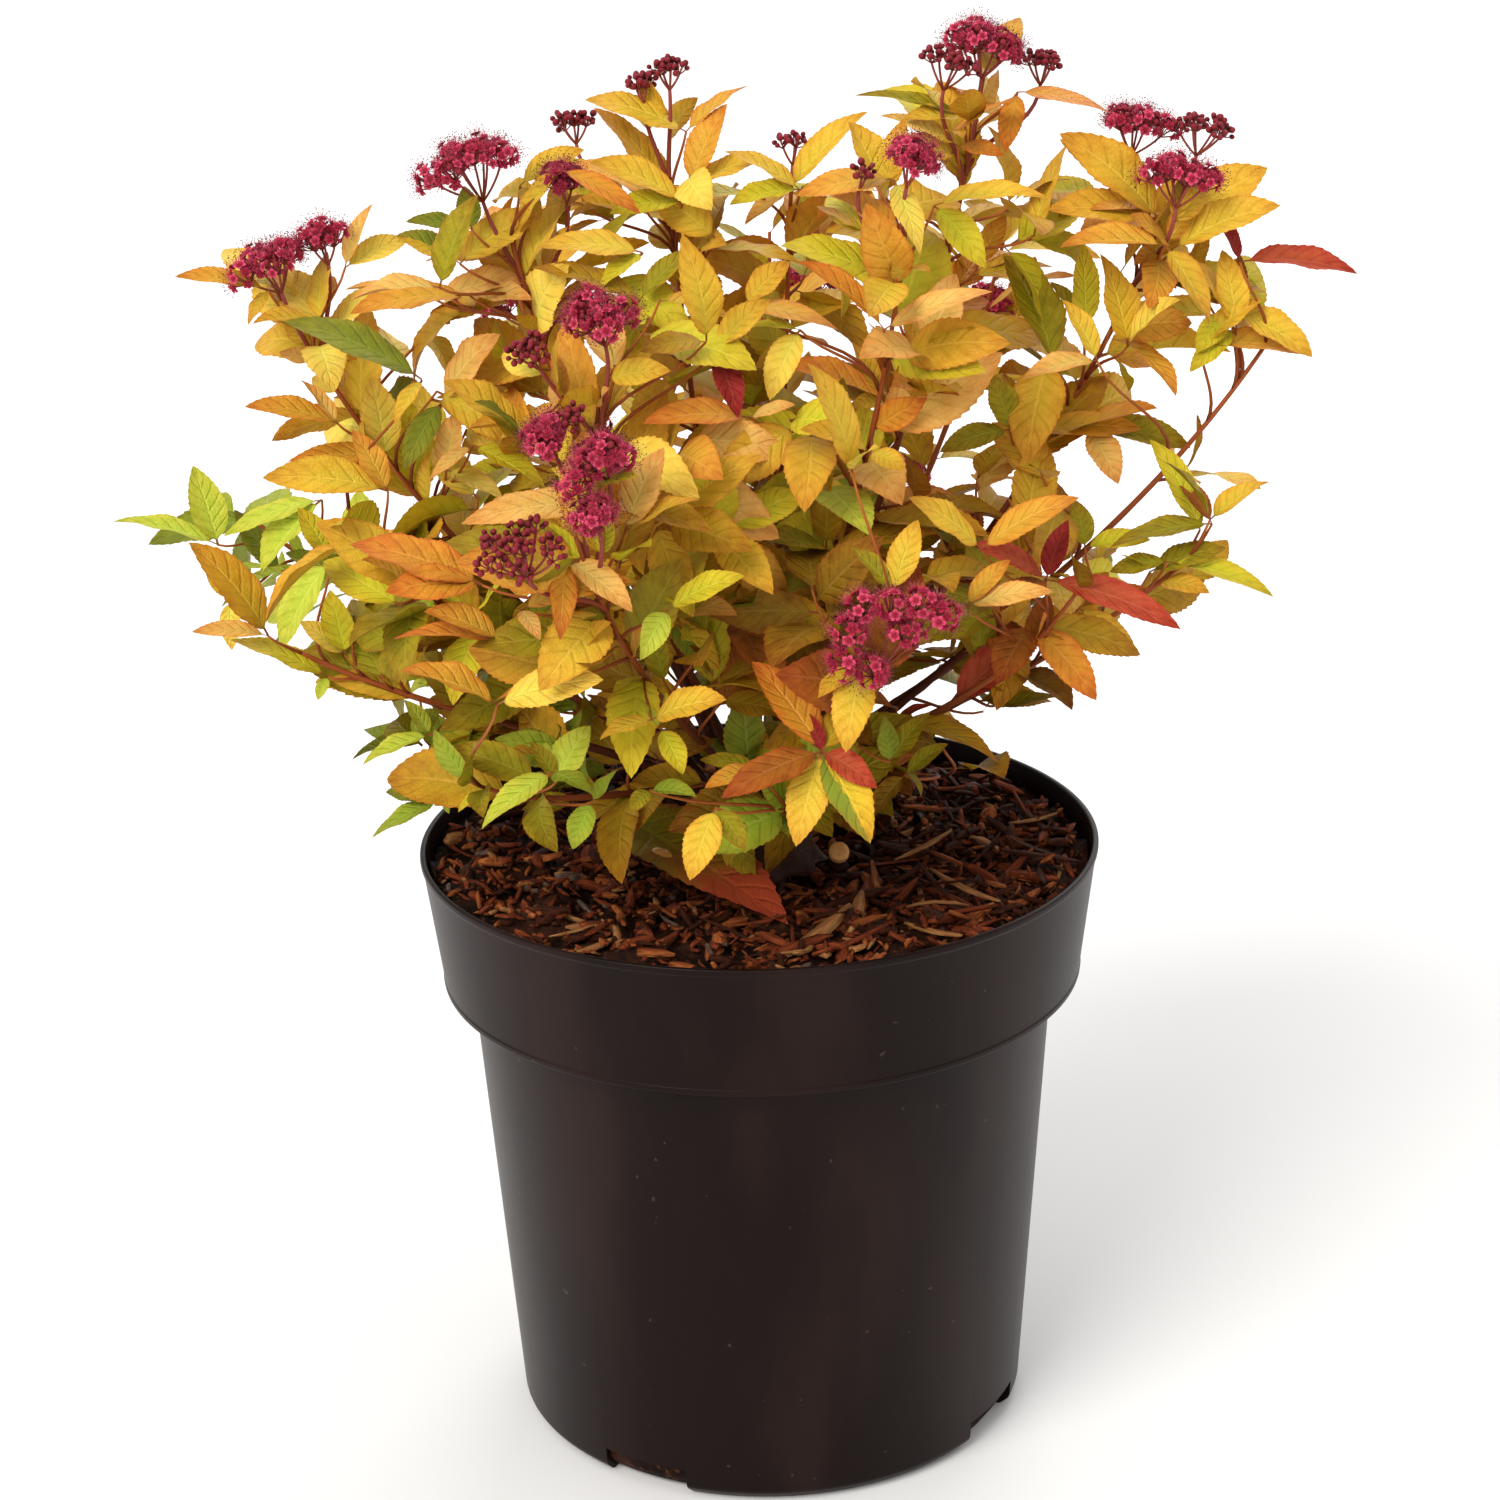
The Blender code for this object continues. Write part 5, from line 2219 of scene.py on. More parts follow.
# Each spray is a row: the pixel of the joint that its leaves share, the joint's depth in millimetres,
# and the fields of each leaf's Blade.
SPRAYS = [
    ((328, 677), -16, ((230, 640), -4, CHARTREUSE, 0.34), ((318, 700), -4, LIME, 0.5)),
    ((345, 655), -10, ((300, 622), 0, PALE_GOLD), ((330, 590), 4, CHARTREUSE, 0.5)),
    ((410, 735), -20, ((364, 764), -4, LIME, 0.36), ((440, 710), 4, GREEN, 0.5)),
    ((1085, 548), -10, ((1150, 540), 2, CHARTREUSE, 0.36), ((1075, 500), 2, OLIVE, 0.5)),
    ((1078, 608), -24, ((1138, 657), -6, HONEY), ((1150, 590), 2, RUSSET, 0.3)),
    ((1150, 572), -14, ((1226, 548), 2, OLIVE, 0.36), ((1120, 555), -4, CHARTREUSE)),
    ((668, 190), 30, ((594, 108), 0, HONEY), ((640, 140), 2, GOLD)),
    ((1085, 330), 12, ((1082, 240), 0, CHARTREUSE), ((1050, 282), 0, OLIVE)),
    ((1236, 330), 2, ((1190, 372), -6, CHARTREUSE, 0.42), ((1222, 250), 4, GOLD, 0.5)),
    ((1010, 430), -10, ((990, 375), 0, OLIVE, 0.5), ((940, 452), -8, OLIVE, 0.34)),
    ((1200, 530), -10, ((1180, 488), 4, OLIVE, 0.5), ((1150, 440), 4, CHARTREUSE, 0.3)),
    ((420, 500), 10, ((400, 395), 4, CHARTREUSE, 0.44), ((345, 462), 0, GOLD, 0.36)),
    ((330, 560), 10, ((298, 508), 2, CHARTREUSE, 0.5), ((282, 650), -4, LIME)),
    ((420, 700), -10, ((330, 680), -4, GOLD, 0.34), ((296, 655), 2, OLIVE)),
    ((230, 600), 40, ((205, 560), 0, GOLD), ((232, 650), -6, PALE_GOLD)),
    ((472, 230), -4, ((464, 186), 2, GREEN, 0.5), ((406, 222), -6, GREEN, 0.34)),
    ((460, 264), -2, ((396, 236), -4, PATCHED, 0.5), ((538, 212), 4, GOLD)),
    ((470, 296), 0, ((350, 314), -10, AMBER, 0.34), ((532, 300), -10, PEACH, 0.5)),
    ((520, 186), 4, ((584, 150), 2, GOLD, 0.5), ((540, 222), -8, HONEY, 0.42)),
    ((472, 446), -12, ((546, 492), -10, CHARTREUSE, 0.42), ((430, 480), -6, PEACH)),
    ((884, 196), -6, ((848, 122), 4, GOLD, 0.5), ((905, 118), 4, HONEY)),
    ((800, 190), 16, ((724, 152), 0, GOLD, 0.36), ((730, 205), -6, CHARTREUSE)),
    ((556, 782), -72, ((590, 726), 4, LIME, 0.5), ((530, 742), 0, OLIVE, 0.44)),
    ((592, 802), -76, ((573, 849), -6, FRESH, 0.6), ((620, 768), 4, FRESH, 0.5)),
    ((660, 728), -88, ((683, 774), -6, CHARTREUSE, 0.5), ((640, 700), 4, LIME)),
    ((650, 790), -84, ((696, 797), -6, FRESH, 0.5), ((630, 812), -6, OLIVE, 0.5)),
    ((760, 770), -84, ((705, 788), -6, AMBER), ((700, 760), 2, OLIVE)),
    ((905, 775), -50, ((948, 744), 0, OLIVE, 0.46), ((872, 818), -4, BRONZE, 0.5)),
    ((890, 762), -66, ((884, 716), 2, GREEN, 0.5), ((930, 712), 4, OLIVE, 0.44)),
    ((310, 320), -6, ((253, 324), -6, HONEY, 0.5)),
    ((387, 458), 0, ((371, 376), 4, PALE_GOLD, 0.5), ((288, 462), -6, AMBER, 0.36)),
    ((414, 590), -44, ((316, 523), -4, GOLD, 0.46), ((362, 560), -10, AMBER)),
    ((528, 446), -44, ((443, 382), -6, GOLD, 0.42), ((474, 402), -14, GREEN, 0.36)),
    ((643, 253), -12, ((537, 248), -4, GOLD), ((600, 290), -10, CHARTREUSE, 0.44)),
    ((682, 202), 12, ((590, 163), -4, GOLD, 0.46), ((610, 214), -10, CHARTREUSE)),
    ((625, 532), -92, ((664, 448), 6, PEACH, 0.46), ((700, 500), -6, HONEY, 0.44)),
    ((750, 418), -50, ((643, 424), -10, ORANGE, 0.36), ((795, 405), -6, PEACH)),
    ((608, 505), -84, ((712, 534), -10, DEEP_GOLD), ((462, 524), -10, PEACH, 0.3)),
    ((958, 146), 12, ((880, 116), 0, GOLD, 0.46), ((1003, 156), -8, ORANGE, 0.44)),
    ((934, 206), -20, ((1048, 199), -6, GOLD), ((985, 268), -12, CHARTREUSE, 0.44)),
    ((894, 180), -34, ((797, 196), -4, AMBER, 0.36), ((920, 254), -14, PALE_GOLD, 0.42)),
    ((1165, 246), -4, ((1209, 325), -10, HONEY, 0.42), ((1060, 248), -6, AMBER)),
    ((1230, 312), 4, ((1312, 357), -4, GOLD, 0.42), ((1196, 352), -8, CHARTREUSE, 0.46)),
    ((1097, 361), -22, ((1024, 379), -10, PEACH, 0.42), ((1062, 300), 4, GOLD, 0.44)),
    ((1212, 524), -12, ((1172, 473), 6, RUSSET, 0.42), ((1110, 548), -6, OLIVE, 0.34)),
    ((981, 549), -60, ((1079, 498), -4, AMBER, 0.38), ((909, 498), -4, GOLD, 0.44)),
    ((967, 606), -66, ((1053, 592), -6, PEACH, 0.34), ((1010, 560), 4, AMBER, 0.36)),
    ((870, 452), -64, ((800, 430), -8, GOLD, 0.46), ((905, 470), -10, GOLD, 0.5)),
    ((745, 305), -30, ((790, 262), 2, HONEY, 0.44), ((838, 330), -8, AMBER, 0.42)),
    ((800, 330), -36, ((770, 400), -10, PALE_GOLD, 0.44), ((742, 330), -4, CHARTREUSE, 0.44)),
    ((566, 560), -96, ((632, 612), -10, PEACH, 0.42), ((560, 640), -12, ORANGE, 0.34)),
    ((668, 610), -92, ((744, 576), -4, CHARTREUSE, 0.44), ((640, 660), -12, LIME, 0.44)),
    ((652, 720), -92, ((726, 700), -8, GOLD, 0.5), ((600, 740), -10, GOLD, 0.46)),
    ((500, 640), -88, ((424, 612), -4, AMBER, 0.42), ((392, 640), -6, ORANGE)),
    ((893, 592), -88, ((918, 520), 8, GOLD, 0.46), ((850, 548), 4, OLIVE, 0.42)),
    ((862, 664), -88, ((846, 752), -12, GOLD, 0.46), ((812, 700), -6, HONEY)),
    ((1160, 222), 6, ((1060, 134), 2, HONEY, 0.44), ((1048, 210), -6, HONEY, 0.46)),
    ((1128, 346), -4, ((1100, 254), 4, GOLD, 0.52), ((1180, 300), -8, PALE_GOLD, 0.5)),
    ((690, 186), 22, ((727, 104), 4, AMBER, 0.42), ((768, 158), 0, GOLD, 0.42)),
    ((1232, 318), 6, ((1240, 254), 4, BRONZE, 0.42), ((1190, 262), -6, HONEY)),
    ((442, 402), 0, ((500, 335), -6, PEACH, 0.52), ((404, 470), -14, GREEN)),
    ((446, 470), -6, ((460, 410), 2, PEACH, 0.5), ((506, 505), -8, PALE_GOLD, 0.5)),
    ((436, 300), 6, ((345, 290), -8, PEACH, 0.36), ((528, 282), -8, PEACH, 0.42)),
    ((422, 380), -22, ((284, 322), -8, GREEN, 0.34), ((395, 425), -14, GOLD, 0.36)),
    ((1240, 262), 2, ((1357, 274), 4, RED, 0.34), ((1214, 212), 4, CRIMSON, 0.42)),
    (
        (1046, 580),
        -52,
        ((1068, 520), 6, CRIMSON, 0.44), ((1180, 629), -10, RED, 0.26), ((972, 545), -8, RED),
        ((1000, 612), -16, RUSSET),
    ),
    (
        (1030, 625),
        -46,
        ((998, 684), -14, RUSSET, 0.5), ((1096, 700), -8, ORANGE, 0.38),
        ((1140, 655), 6, DEEP_GOLD, 0.36),
    ),
    (
        (822, 752),
        -92,
        ((806, 712), 4, CRIMSON, 0.42), ((877, 788), -10, RED, 0.44), ((722, 798), -14, RUSSET, 0.38),
        ((796, 846), -12, GOLD, 0.44), ((870, 843), -16, PATCHED, 0.5), ((752, 662), 10, ORANGE, 0.36),
        ((870, 690), 8, DEEP_GOLD, 0.42),
    ),
    ((716, 808), -96, ((690, 880), -10, GOLD, 0.52), ((745, 850), -4, OLIVE, 0.5)),
    ((552, 772), -78, ((482, 829), -14, LIME, 0.44), ((592, 795), -10, FRESH, 0.5)),
    ((497, 705), -98, ((603, 680), -8, PALE_GOLD, 0.46), ((400, 672), -8, AMBER, 0.46)),
    ((716, 350), -44, ((738, 418), -10, CRIMSON), ((770, 300), 2, GOLD)),
    ((706, 342), -50, ((682, 234), -8, GOLD), ((640, 352), -8, DEEP_GOLD, 0.36)),
    ((852, 472), -72, ((808, 364), -6, GOLD, 0.44), ((878, 448), -12, PALE_GOLD, 0.5)),
    ((388, 492), -30, ((263, 478), -6, GOLD, 0.34), ((352, 430), 4, AMBER)),
    ((338, 424), -6, ((245, 407), -8, AMBER, 0.38), ((300, 380), 6, PEACH)),
    ((268, 636), -20, ((189, 543), -6, HONEY), ((192, 632), -6, PEACH, 0.24)),
    ((268, 290), -2, ((175, 277), -4, AMBER, 0.24), ((248, 325), -6, HONEY, 0.5)),
    ((345, 268), 4, ((373, 204), 4, PEACH, 0.36), ((408, 240), 8, PALE_GOLD)),
    ((440, 288), -18, ((478, 195), 2, OLIVE), ((352, 300), -10, PEACH)),
    ((686, 132), 28, ((585, 100), -4, GOLD, 0.38), ((748, 86), 4, AMBER, 0.34)),
    ((790, 190), 24, ((868, 112), 4, GOLD, 0.36), ((745, 225), -6, PEACH)),
    ((1018, 92), 16, ((1110, 113), -6, ORANGE, 0.32), ((1005, 152), -10, ORANGE)),
    ((965, 118), 14, ((855, 96), 2, OLIVE, 0.22), ((903, 120), -4, GOLD)),
    ((1172, 250), 4, ((1280, 206), -6, GOLD, 0.42), ((1130, 215), -8, AMBER, 0.44)),
    ((1150, 205), 8, ((1060, 140), 2, GOLD, 0.34), ((1090, 210), -8, AMBER)),
    ((1200, 345), 0, ((1312, 356), 4, AMBER, 0.34), ((1262, 300), 2, GOLD, 0.38)),
    ((1210, 520), -14, ((1270, 482), 4, GOLD, 0.5), ((1165, 462), -6, OLIVE, 0.42)),
    ((1168, 562), -16, ((1273, 597), 4, CHARTREUSE, 0.3), ((1110, 572), 2, OLIVE)),
    ((1088, 430), 6, ((1190, 448), 4, OLIVE, 0.34), ((1118, 484), -12, PEACH, 0.58)),
    ((884, 330), -52, ((992, 292), -6, PEACH, 0.34), ((798, 262), -4, ORANGE, 0.34)),
    ((218, 545), 42, ((113, 522), 0, LIME, 0.27), ((193, 466), 2, LIME)),
    ((322, 500), 40, ((224, 536), 0, LIME, 0.26), ((262, 574), -4, LIME, 0.56)),
    ((440, 800), -8, ((372, 838), -6, FRESH, 0.34), ((386, 792), 4, GREEN, 0.5)),
    ((430, 735), -24, ((363, 765), -6, LIME, 0.38), ((404, 700), 2, LIME, 0.5)),
    ((520, 610), -92, ((632, 582), -8, AMBER, 0.34), ((540, 640), -14, PEACH, 0.3)),
    ((482, 585), -84, ((386, 592), -8, ORANGE), ((350, 545), 4, ORANGE, 0.38)),
    ((640, 300), -20, ((532, 268), 2, DEEP_GOLD, 0.32), ((690, 250), 6, OLIVE, 0.38)),
    ((560, 170), -4, ((640, 214), -6, ORANGE, 0.26), ((520, 232), 2, GOLD)),
]


@dataclass(frozen=True)
class Bunch:
    """A bunch of leaves at a twig's end: its pixel, its depth in mm, its colours, count and leaf length."""

    pixel: Pixel
    depth: float
    palette: Palette
    count: int = 5
    length: float = 32


BUNCHES = [
    Bunch((452, 300), 10, PEACHY),
    Bunch((446, 372), -4, PEACHY, 5, 34),
    Bunch((470, 418), 4, PEACHY, 5, 30),
    Bunch((478, 498), -10, MEADOW),
    Bunch((420, 452), -16, GREENISH, 4, 28),
    Bunch((375, 412), 6, PEACHY),
    Bunch((690, 176), 20, PEACHY, 4),
    Bunch((716, 238), 10, PEACHY, 5, 30),
    Bunch((640, 200), 20, SUNLIT, 4, 28),
    Bunch((585, 205), 24, SUNLIT, 4, 26),
    Bunch((880, 190), -20, EMBER, 5, 30),
    Bunch((828, 218), 10, SUNLIT, 5, 30),
    Bunch((1100, 196), 14, SUNLIT, 5, 36),
    Bunch((1120, 262), 4, EMBER, 5, 34),
    Bunch((1110, 330), 0, SUNLIT, 4),
    Bunch((1035, 235), 10, SUNLIT, 5, 34),
    Bunch((1040, 340), -4, SUNLIT, 4, 30),
    Bunch((1206, 296), 8, SUNLIT, 4, 28),
    Bunch((1240, 330), 4, EMBER, 3, 26),
    Bunch((660, 300), -30, SUNLIT),
    Bunch((620, 268), -10, SUNLIT, 5, 30),
    Bunch((690, 440), -50, EMBER, 5, 34),
    Bunch((668, 520), -70, SUNLIT),
    Bunch((728, 530), -60, SUNLIT),
    Bunch((790, 420), -50, SUNLIT),
    Bunch((806, 470), -40, MEADOW, 4, 30),
    Bunch((716, 628), -60, DUSKY, 5, 34),
    Bunch((760, 600), -50, DUSKY, 5, 34),
    Bunch((812, 590), -60, DUSKY, 5, 34),
    Bunch((720, 700), -50, DUSKY),
    Bunch((770, 690), -40, DUSKY),
    Bunch((830, 700), -50, DUSKY, 4, 30),
    Bunch((1020, 520), -20, SHADED, 4),
    Bunch((1040, 470), -14, SHADED, 4, 30),
    Bunch((985, 590), -50, SHADED, 4),
    Bunch((925, 560), -60, SHADED, 4),
    Bunch((940, 740), -40, DUSKY, 4, 24),
    Bunch((885, 765), -40, DUSKY, 4, 20),
    Bunch((300, 600), 0, MEADOW),
    Bunch((350, 618), -8, MEADOW),
    Bunch((400, 640), -20, MEADOW),
    Bunch((300, 540), 20, LIMY, 4, 30),
    Bunch((360, 690), -10, MEADOW, 4, 26),
    Bunch((325, 330), 4, PEACHY, 4, 28),
    Bunch((640, 730), -40, DUSKY, 4, 22),
    Bunch((560, 740), -30, GREENISH, 4, 22),
    Bunch((866, 160), -10, SUNLIT, 4, 28),
    Bunch((748, 180), 16, SUNLIT, 4, 28),
    Bunch((540, 190), 10, SUNLIT, 4, 26),
    Bunch((430, 320), 20, PEACHY, 4, 28),
]


# Growth


@dataclass
class Crown:
    """Everything that grows on the stems: twigs, leaves and flower heads, by one seeded rule.

    A shoot carries a leaf every leaf_spacing along its leafy part, each a golden angle on from the
    last, with small leaves in some of their joints. Every second joint bears a twig too, whose
    leaves follow the same rule. Each flower head stands on its own leafy stalk.
    """

    camera: StudioCamera
    routes: dict[str, Route]
    pot: NurseryPot
    leaf_spacing: float = 10.0 * MM
    twig_leaf_spacing: float = 8.0 * MM
    stalk_leaf_spacing: float = 7.5 * MM
    long_leaf: float = 38 * MM
    short_leaf: float = 25 * MM
    small_leaf: float = 13 * MM
    small_leaf_share: float = 0.26
    twig_radius: float = 0.54 * MM
    twig_drop: float = 15 * MM
    head_drop: float = 26 * MM
    spray_arch: float = 0.55
    low_front: tuple[float, float] = (240.0, 345.0)
    front_lead: float = 0.24
    usual_lead: float = 0.10
    lowest_leaf: float = 0.25
    outward_lean: float = 0.30
    levelled_share: float = 0.8
    head_lean: float = 0.22
    low_head_lean: float = 0.35
    low_head_top: float = 330 * MM
    seen_shares: tuple[float, ...] = (0.35, 0.6, 0.82)
    over_pot: float = 0.5 * MM
    past_rim: float = 2 * MM
    joint_gap: float = 1 * MM
    bare_end: float = 0.6
    # The heights between which painted shade is dealt to more and more leaves.
    deep_top: float = 305 * MM
    deep_foot: float = 205 * MM
    recess_depth: float = -20.0
    target_pixels: float = 13.0
    seed: int = 17

    def __post_init__(self) -> None:
        """Starts the leaf store, the blossom, the targets to keep in view and the random numbers."""
        self.head_targets: list[tuple[np.ndarray, float]] = []
        self.leaf_targets: list[np.ndarray] = []
        self.chance = np.random.default_rng(self.seed)
        self.leaves = LeafStore(self.camera, self.seed + 1)
        self.blossom = Blossom()
        self.twigs: list[Route] = []
        self.stalks: list[np.ndarray] = []

    def add_twig(self, route: Route) -> None:
        """Adds a twig, which bears the leaves added next."""
        self.leaves.owner = len(self.twigs)
        self.twigs.append(route)

    def leaf_ways(self, route: Route, shares: np.ndarray, lift: np.ndarray) -> np.ndarray:
        """The ways leaves set out: a golden angle apart round the stem, lifted towards its tip.

        Leaves lean outwards, away from the pot's axis, and those that would point steeply up or
        down are eased towards level.

        Args:
            route: The stem.
            shares: Where on it they grow.
            lift: Each leaf's lift from square to the stem, in radians.

        Returns:
            The unit directions.
        """
        ways = route.ways(shares)
        turns = self.chance.uniform(0, 6) + np.arange(len(ways)) * GOLDEN_TURN
        found = swung(lift, swung(turns, *sides_of(ways)), ways)
        found += self.outward_lean * outward(route.at(shares), 1e-6)
        found[:, 2] *= self.levelled_share
        return unit(found)

    def leafy_run(self, route: Route, shares: np.ndarray, lengths: np.ndarray, palette: Palette) -> None:
        """Grows leaves along a route, and pairs of small ones in some of their joints.

        Args:
            route: The stem or twig.
            shares: Where on it they grow.
            lengths: Their lengths.
            palette: What their tints are drawn from.
        """
        chance = self.chance
        total = len(shares)
        bases, stem_ways = route.at(shares), route.ways(shares)
        ways = self.leaf_ways(route, shares, chance.uniform(0.45, 1.0, total))
        lengths = lengths * chance.uniform(0.84, 1.1, total)
        self.leaves.add(bases, ways, lengths, palette.draw(chance, total))
        for sign in (-1, 1):
            has_small = chance.random(total) < self.small_leaf_share
            if not has_small.any():
                continue
            count = int(has_small.sum())
            across = sign * chance.uniform(0.5, 1.0, (count, 1)) * np.cross(stem_ways, ways)[has_small]
            small_ways = ways[has_small] + across + 0.5 * stem_ways[has_small]
            sizes = self.small_leaf * chance.uniform(0.65, 1.35, count)
            self.leaves.add(bases[has_small], small_ways, sizes, palette.draw(chance, count), arch=0.6)

    def tuft(self, route: Route, palette: Palette, count: int = 5) -> None:
        """Grows the young upright leaves at the end of a shoot or twig.

        Args:
            route: The shoot or twig.
            palette: What their tints are drawn from.
            count: How many.
        """
        chance = self.chance
        way = route.ways(1.0)
        turns = np.arange(count) * GOLDEN_TURN + chance.uniform(0, 6)
        out = swung(turns, *sides_of(way))
        ways = swung(np.linspace(0.25, 1.05, count), way, out)
        lengths = np.linspace(0.7, 1.25, count) * self.short_leaf
        bases = route.at(1.0) - way * np.linspace(0, 3, count)[:, None] * MM
        uppers = way - 0.7 * out + 0.4 * UP
        self.leaves.add(bases, ways, lengths, palette.draw(chance, count), uppers, arch=0.55)

    def grow_shoot(self, shoot: Shoot) -> None:
        """Grows one shoot's leaves and side twigs.

        Args:
            shoot: The shoot.
        """
        route = self.routes[shoot.name]
        is_front = self.low_front[0] < shoot.bearing < self.low_front[1]
        lead = self.front_lead if is_front else self.usual_lead
        start = max(shoot.leafy_from - lead, self.lowest_leaf)
        shares = route.every(self.leaf_spacing, start, 0.985)
        swell = np.sin(math.pi * (0.18 + 0.62 * (shares - start) / (1 - start)))
        lengths = self.short_leaf + (self.long_leaf - self.short_leaf) * swell
        self.leafy_run(route, shares, lengths, shoot.palette)
        self.tuft(route, shoot.palette)
        for order, share in enumerate(shares[:-1]):
            if order % 2 == 0:
                self.grow_side_twig(shoot, route, float(share), order)

    def grow_side_twig(self, shoot: Shoot, route: Route, share: float, order: int) -> None:
        """Grows a side twig that reaches out to the mass's width and turns up at its end.

        Args:
            shoot: The shoot.
            route: Its route.
            share: Where on the route the twig starts.
            order: The joint's number, which sets its turn round the stem.
        """
        chance = self.chance
        base, way = route.at(share), route.ways(share)
        out = swung(np.array(order * GOLDEN_TURN + 2.1), *sides_of(way)) + 0.25 * outward(base)
        length = shoot.width * MM / 2 * chance.uniform(0.45, 0.85) * (1.1 - 0.4 * share)
        end = base + unit(out + 0.75 * way) * length
        twig = limb(base, out + 0.8 * way, end, 0.5 * out + way + 0.3 * UP)
        self.add_twig(twig)
        shares = twig.every(self.twig_leaf_spacing, 0.35, 0.97)
        lengths = np.linspace(0.9, 0.72, len(shares)) * self.long_leaf * chance.uniform(0.78, 1.0)
        self.leafy_run(twig, shares, lengths, shoot.palette)
        self.tuft(twig, shoot.palette, 3)
        self.leaves.owner = -1

    def nearest_joint(self, place: np.ndarray, drop: float) -> tuple[np.ndarray, np.ndarray, Palette]:
        """Where a twig that ends at a place leaves the frame.

        Args:
            place: The twig's end.
            drop: How far below the place the joint should be.

        Returns:
            The joint, the stem's direction there, and the shoot's palette.
        """
        shares = np.linspace(0.2, 0.97, 60)
        wanted = place - np.array([0, 0, drop]) - outward(place) * drop * 0.25
        points = np.array([self.routes[shoot.name].at(shares) for shoot in SHOOTS])
        gaps = np.linalg.norm(points - wanted, axis=-1)
        row, step = np.unravel_index(gaps.argmin(), gaps.shape)
        shoot = SHOOTS[row]
        return points[row, step], self.routes[shoot.name].ways(shares[step]), shoot.palette

    def twig_to(self, end: np.ndarray, rise: float) -> Route:
        """A new twig from the nearest stem to a point.

        Args:
            end: The point.
            rise: How much the twig turns up there.

        Returns:
            The twig.
        """
        start, way, _ = self.nearest_joint(end, self.twig_drop)
        straight = unit(end - start)
        twig = limb(start, way + 0.5 * straight, end, straight + rise * UP)
        self.add_twig(twig)
        return twig

    def grow_head(self, head: Head, middle: np.ndarray) -> None:
        """Grows a flower head on a leafy stalk from the nearest stem.

        Args:
            head: The head.
            middle: Its middle.
        """
        lean = self.head_lean + self.low_head_lean * (middle[2] < self.low_head_top)
        axis = unit(UP + lean * outward(middle) + self.chance.normal(0, 0.06, 3))
        centres = None
        if head.cluster_pixels:
            centres = np.array([self.camera.point(pixel, head.depth) for pixel in head.cluster_pixels])
            self.head_targets.extend((centre, self.blossom.cluster_radius * 1.1) for centre in centres)
        elif head.pixel:
            self.head_targets.append((middle, head.width * MM / 2))
        foot = self.blossom.grow(head, middle, axis, centres)
        joint, way, palette = self.nearest_joint(foot, self.head_drop)
        stalk = limb(joint, way + 0.4 * unit(foot - joint), foot, axis)
        self.stalks.append(stalk.at(np.linspace(0, 1, 14)))
        shares = stalk.every(self.stalk_leaf_spacing, 0.12, 0.93)
        self.leafy_run(stalk, shares, np.linspace(0.92, 0.45, len(shares)) * self.long_leaf, palette)

    def grow_spray(self, joint_pixel: Pixel, depth: float, blades: list[Blade]) -> None:
        """Grows a spray whose leaves reach from their joint to where the photograph shows their tips.

        A leaf arches, so it sets out above the straight way to its tip by half its arch.

        Args:
            joint_pixel: The joint's pixel.
            depth: Its depth in millimetres.
            blades: The leaves.
        """
        joint = self.camera.point(joint_pixel, depth)
        self.twig_to(joint, 0.3)
        arch = self.spray_arch
        for blade in blades:
            tip = self.camera.point(blade.tip, depth + blade.toward)
            chord = unit(tip - joint)
            upper = square_to(UP + 0.45 * np.array([0, -1.0, 0]), chord)
            way = math.cos(arch / 2) * chord + math.sin(arch / 2) * upper
            length = np.array([np.linalg.norm(tip - joint) * 1.02])
            facing_up = (upper - 0.2 * chord)[None]
            self.leaves.add(joint[None], way[None], length, [blade.tint], facing_up, blade.width, arch)
            self.leaves.batches[-1].arches[:] = arch
            self.leaf_targets.extend(joint + (tip - joint) * share for share in self.seen_shares)

    def grow_bunch(self, bunch: Bunch) -> None:
        """Grows a bunch: a short twig with leaves that spread from its end, its last ones shorter.

        Args:
            bunch: The bunch.
        """
        chance = self.chance
        twig = self.twig_to(self.camera.point(bunch.pixel, bunch.depth), 0.4)
        shares = np.linspace(0.66, 0.99, bunch.count)
        ways = self.leaf_ways(twig, shares, chance.uniform(0.3, 0.8, bunch.count))
        lengths = bunch.length * MM * np.linspace(1.08, 0.8, bunch.count)
        lengths = lengths * chance.uniform(0.88, 1.08, bunch.count)
        self.leaves.add(twig.at(shares), ways, lengths, bunch.palette.draw(chance, bunch.count))

    def grow(self) -> None:
        """Grows everything."""
        for shoot in SHOOTS:
            self.grow_shoot(shoot)
        self.leaves.rank = Rank.BUNCHED
        for bunch in BUNCHES:
            self.grow_bunch(bunch)
        self.leaves.rank = Rank.SEEN
        for joint_pixel, depth, *rows in SPRAYS:
            self.grow_spray(joint_pixel, depth, [Blade(*row) for row in rows])
        self.leaves.rank = Rank.GROWN
        self.leaves.owner = -1
        for head in HEADS:
            self.grow_head(head, self.camera.point(head.pixel, head.depth))
        for bearing, reach, height, width, clusters in BACK_HEADS:
            self.grow_head(Head(None, 0, width, clusters), around(bearing, reach * MM, height * MM))

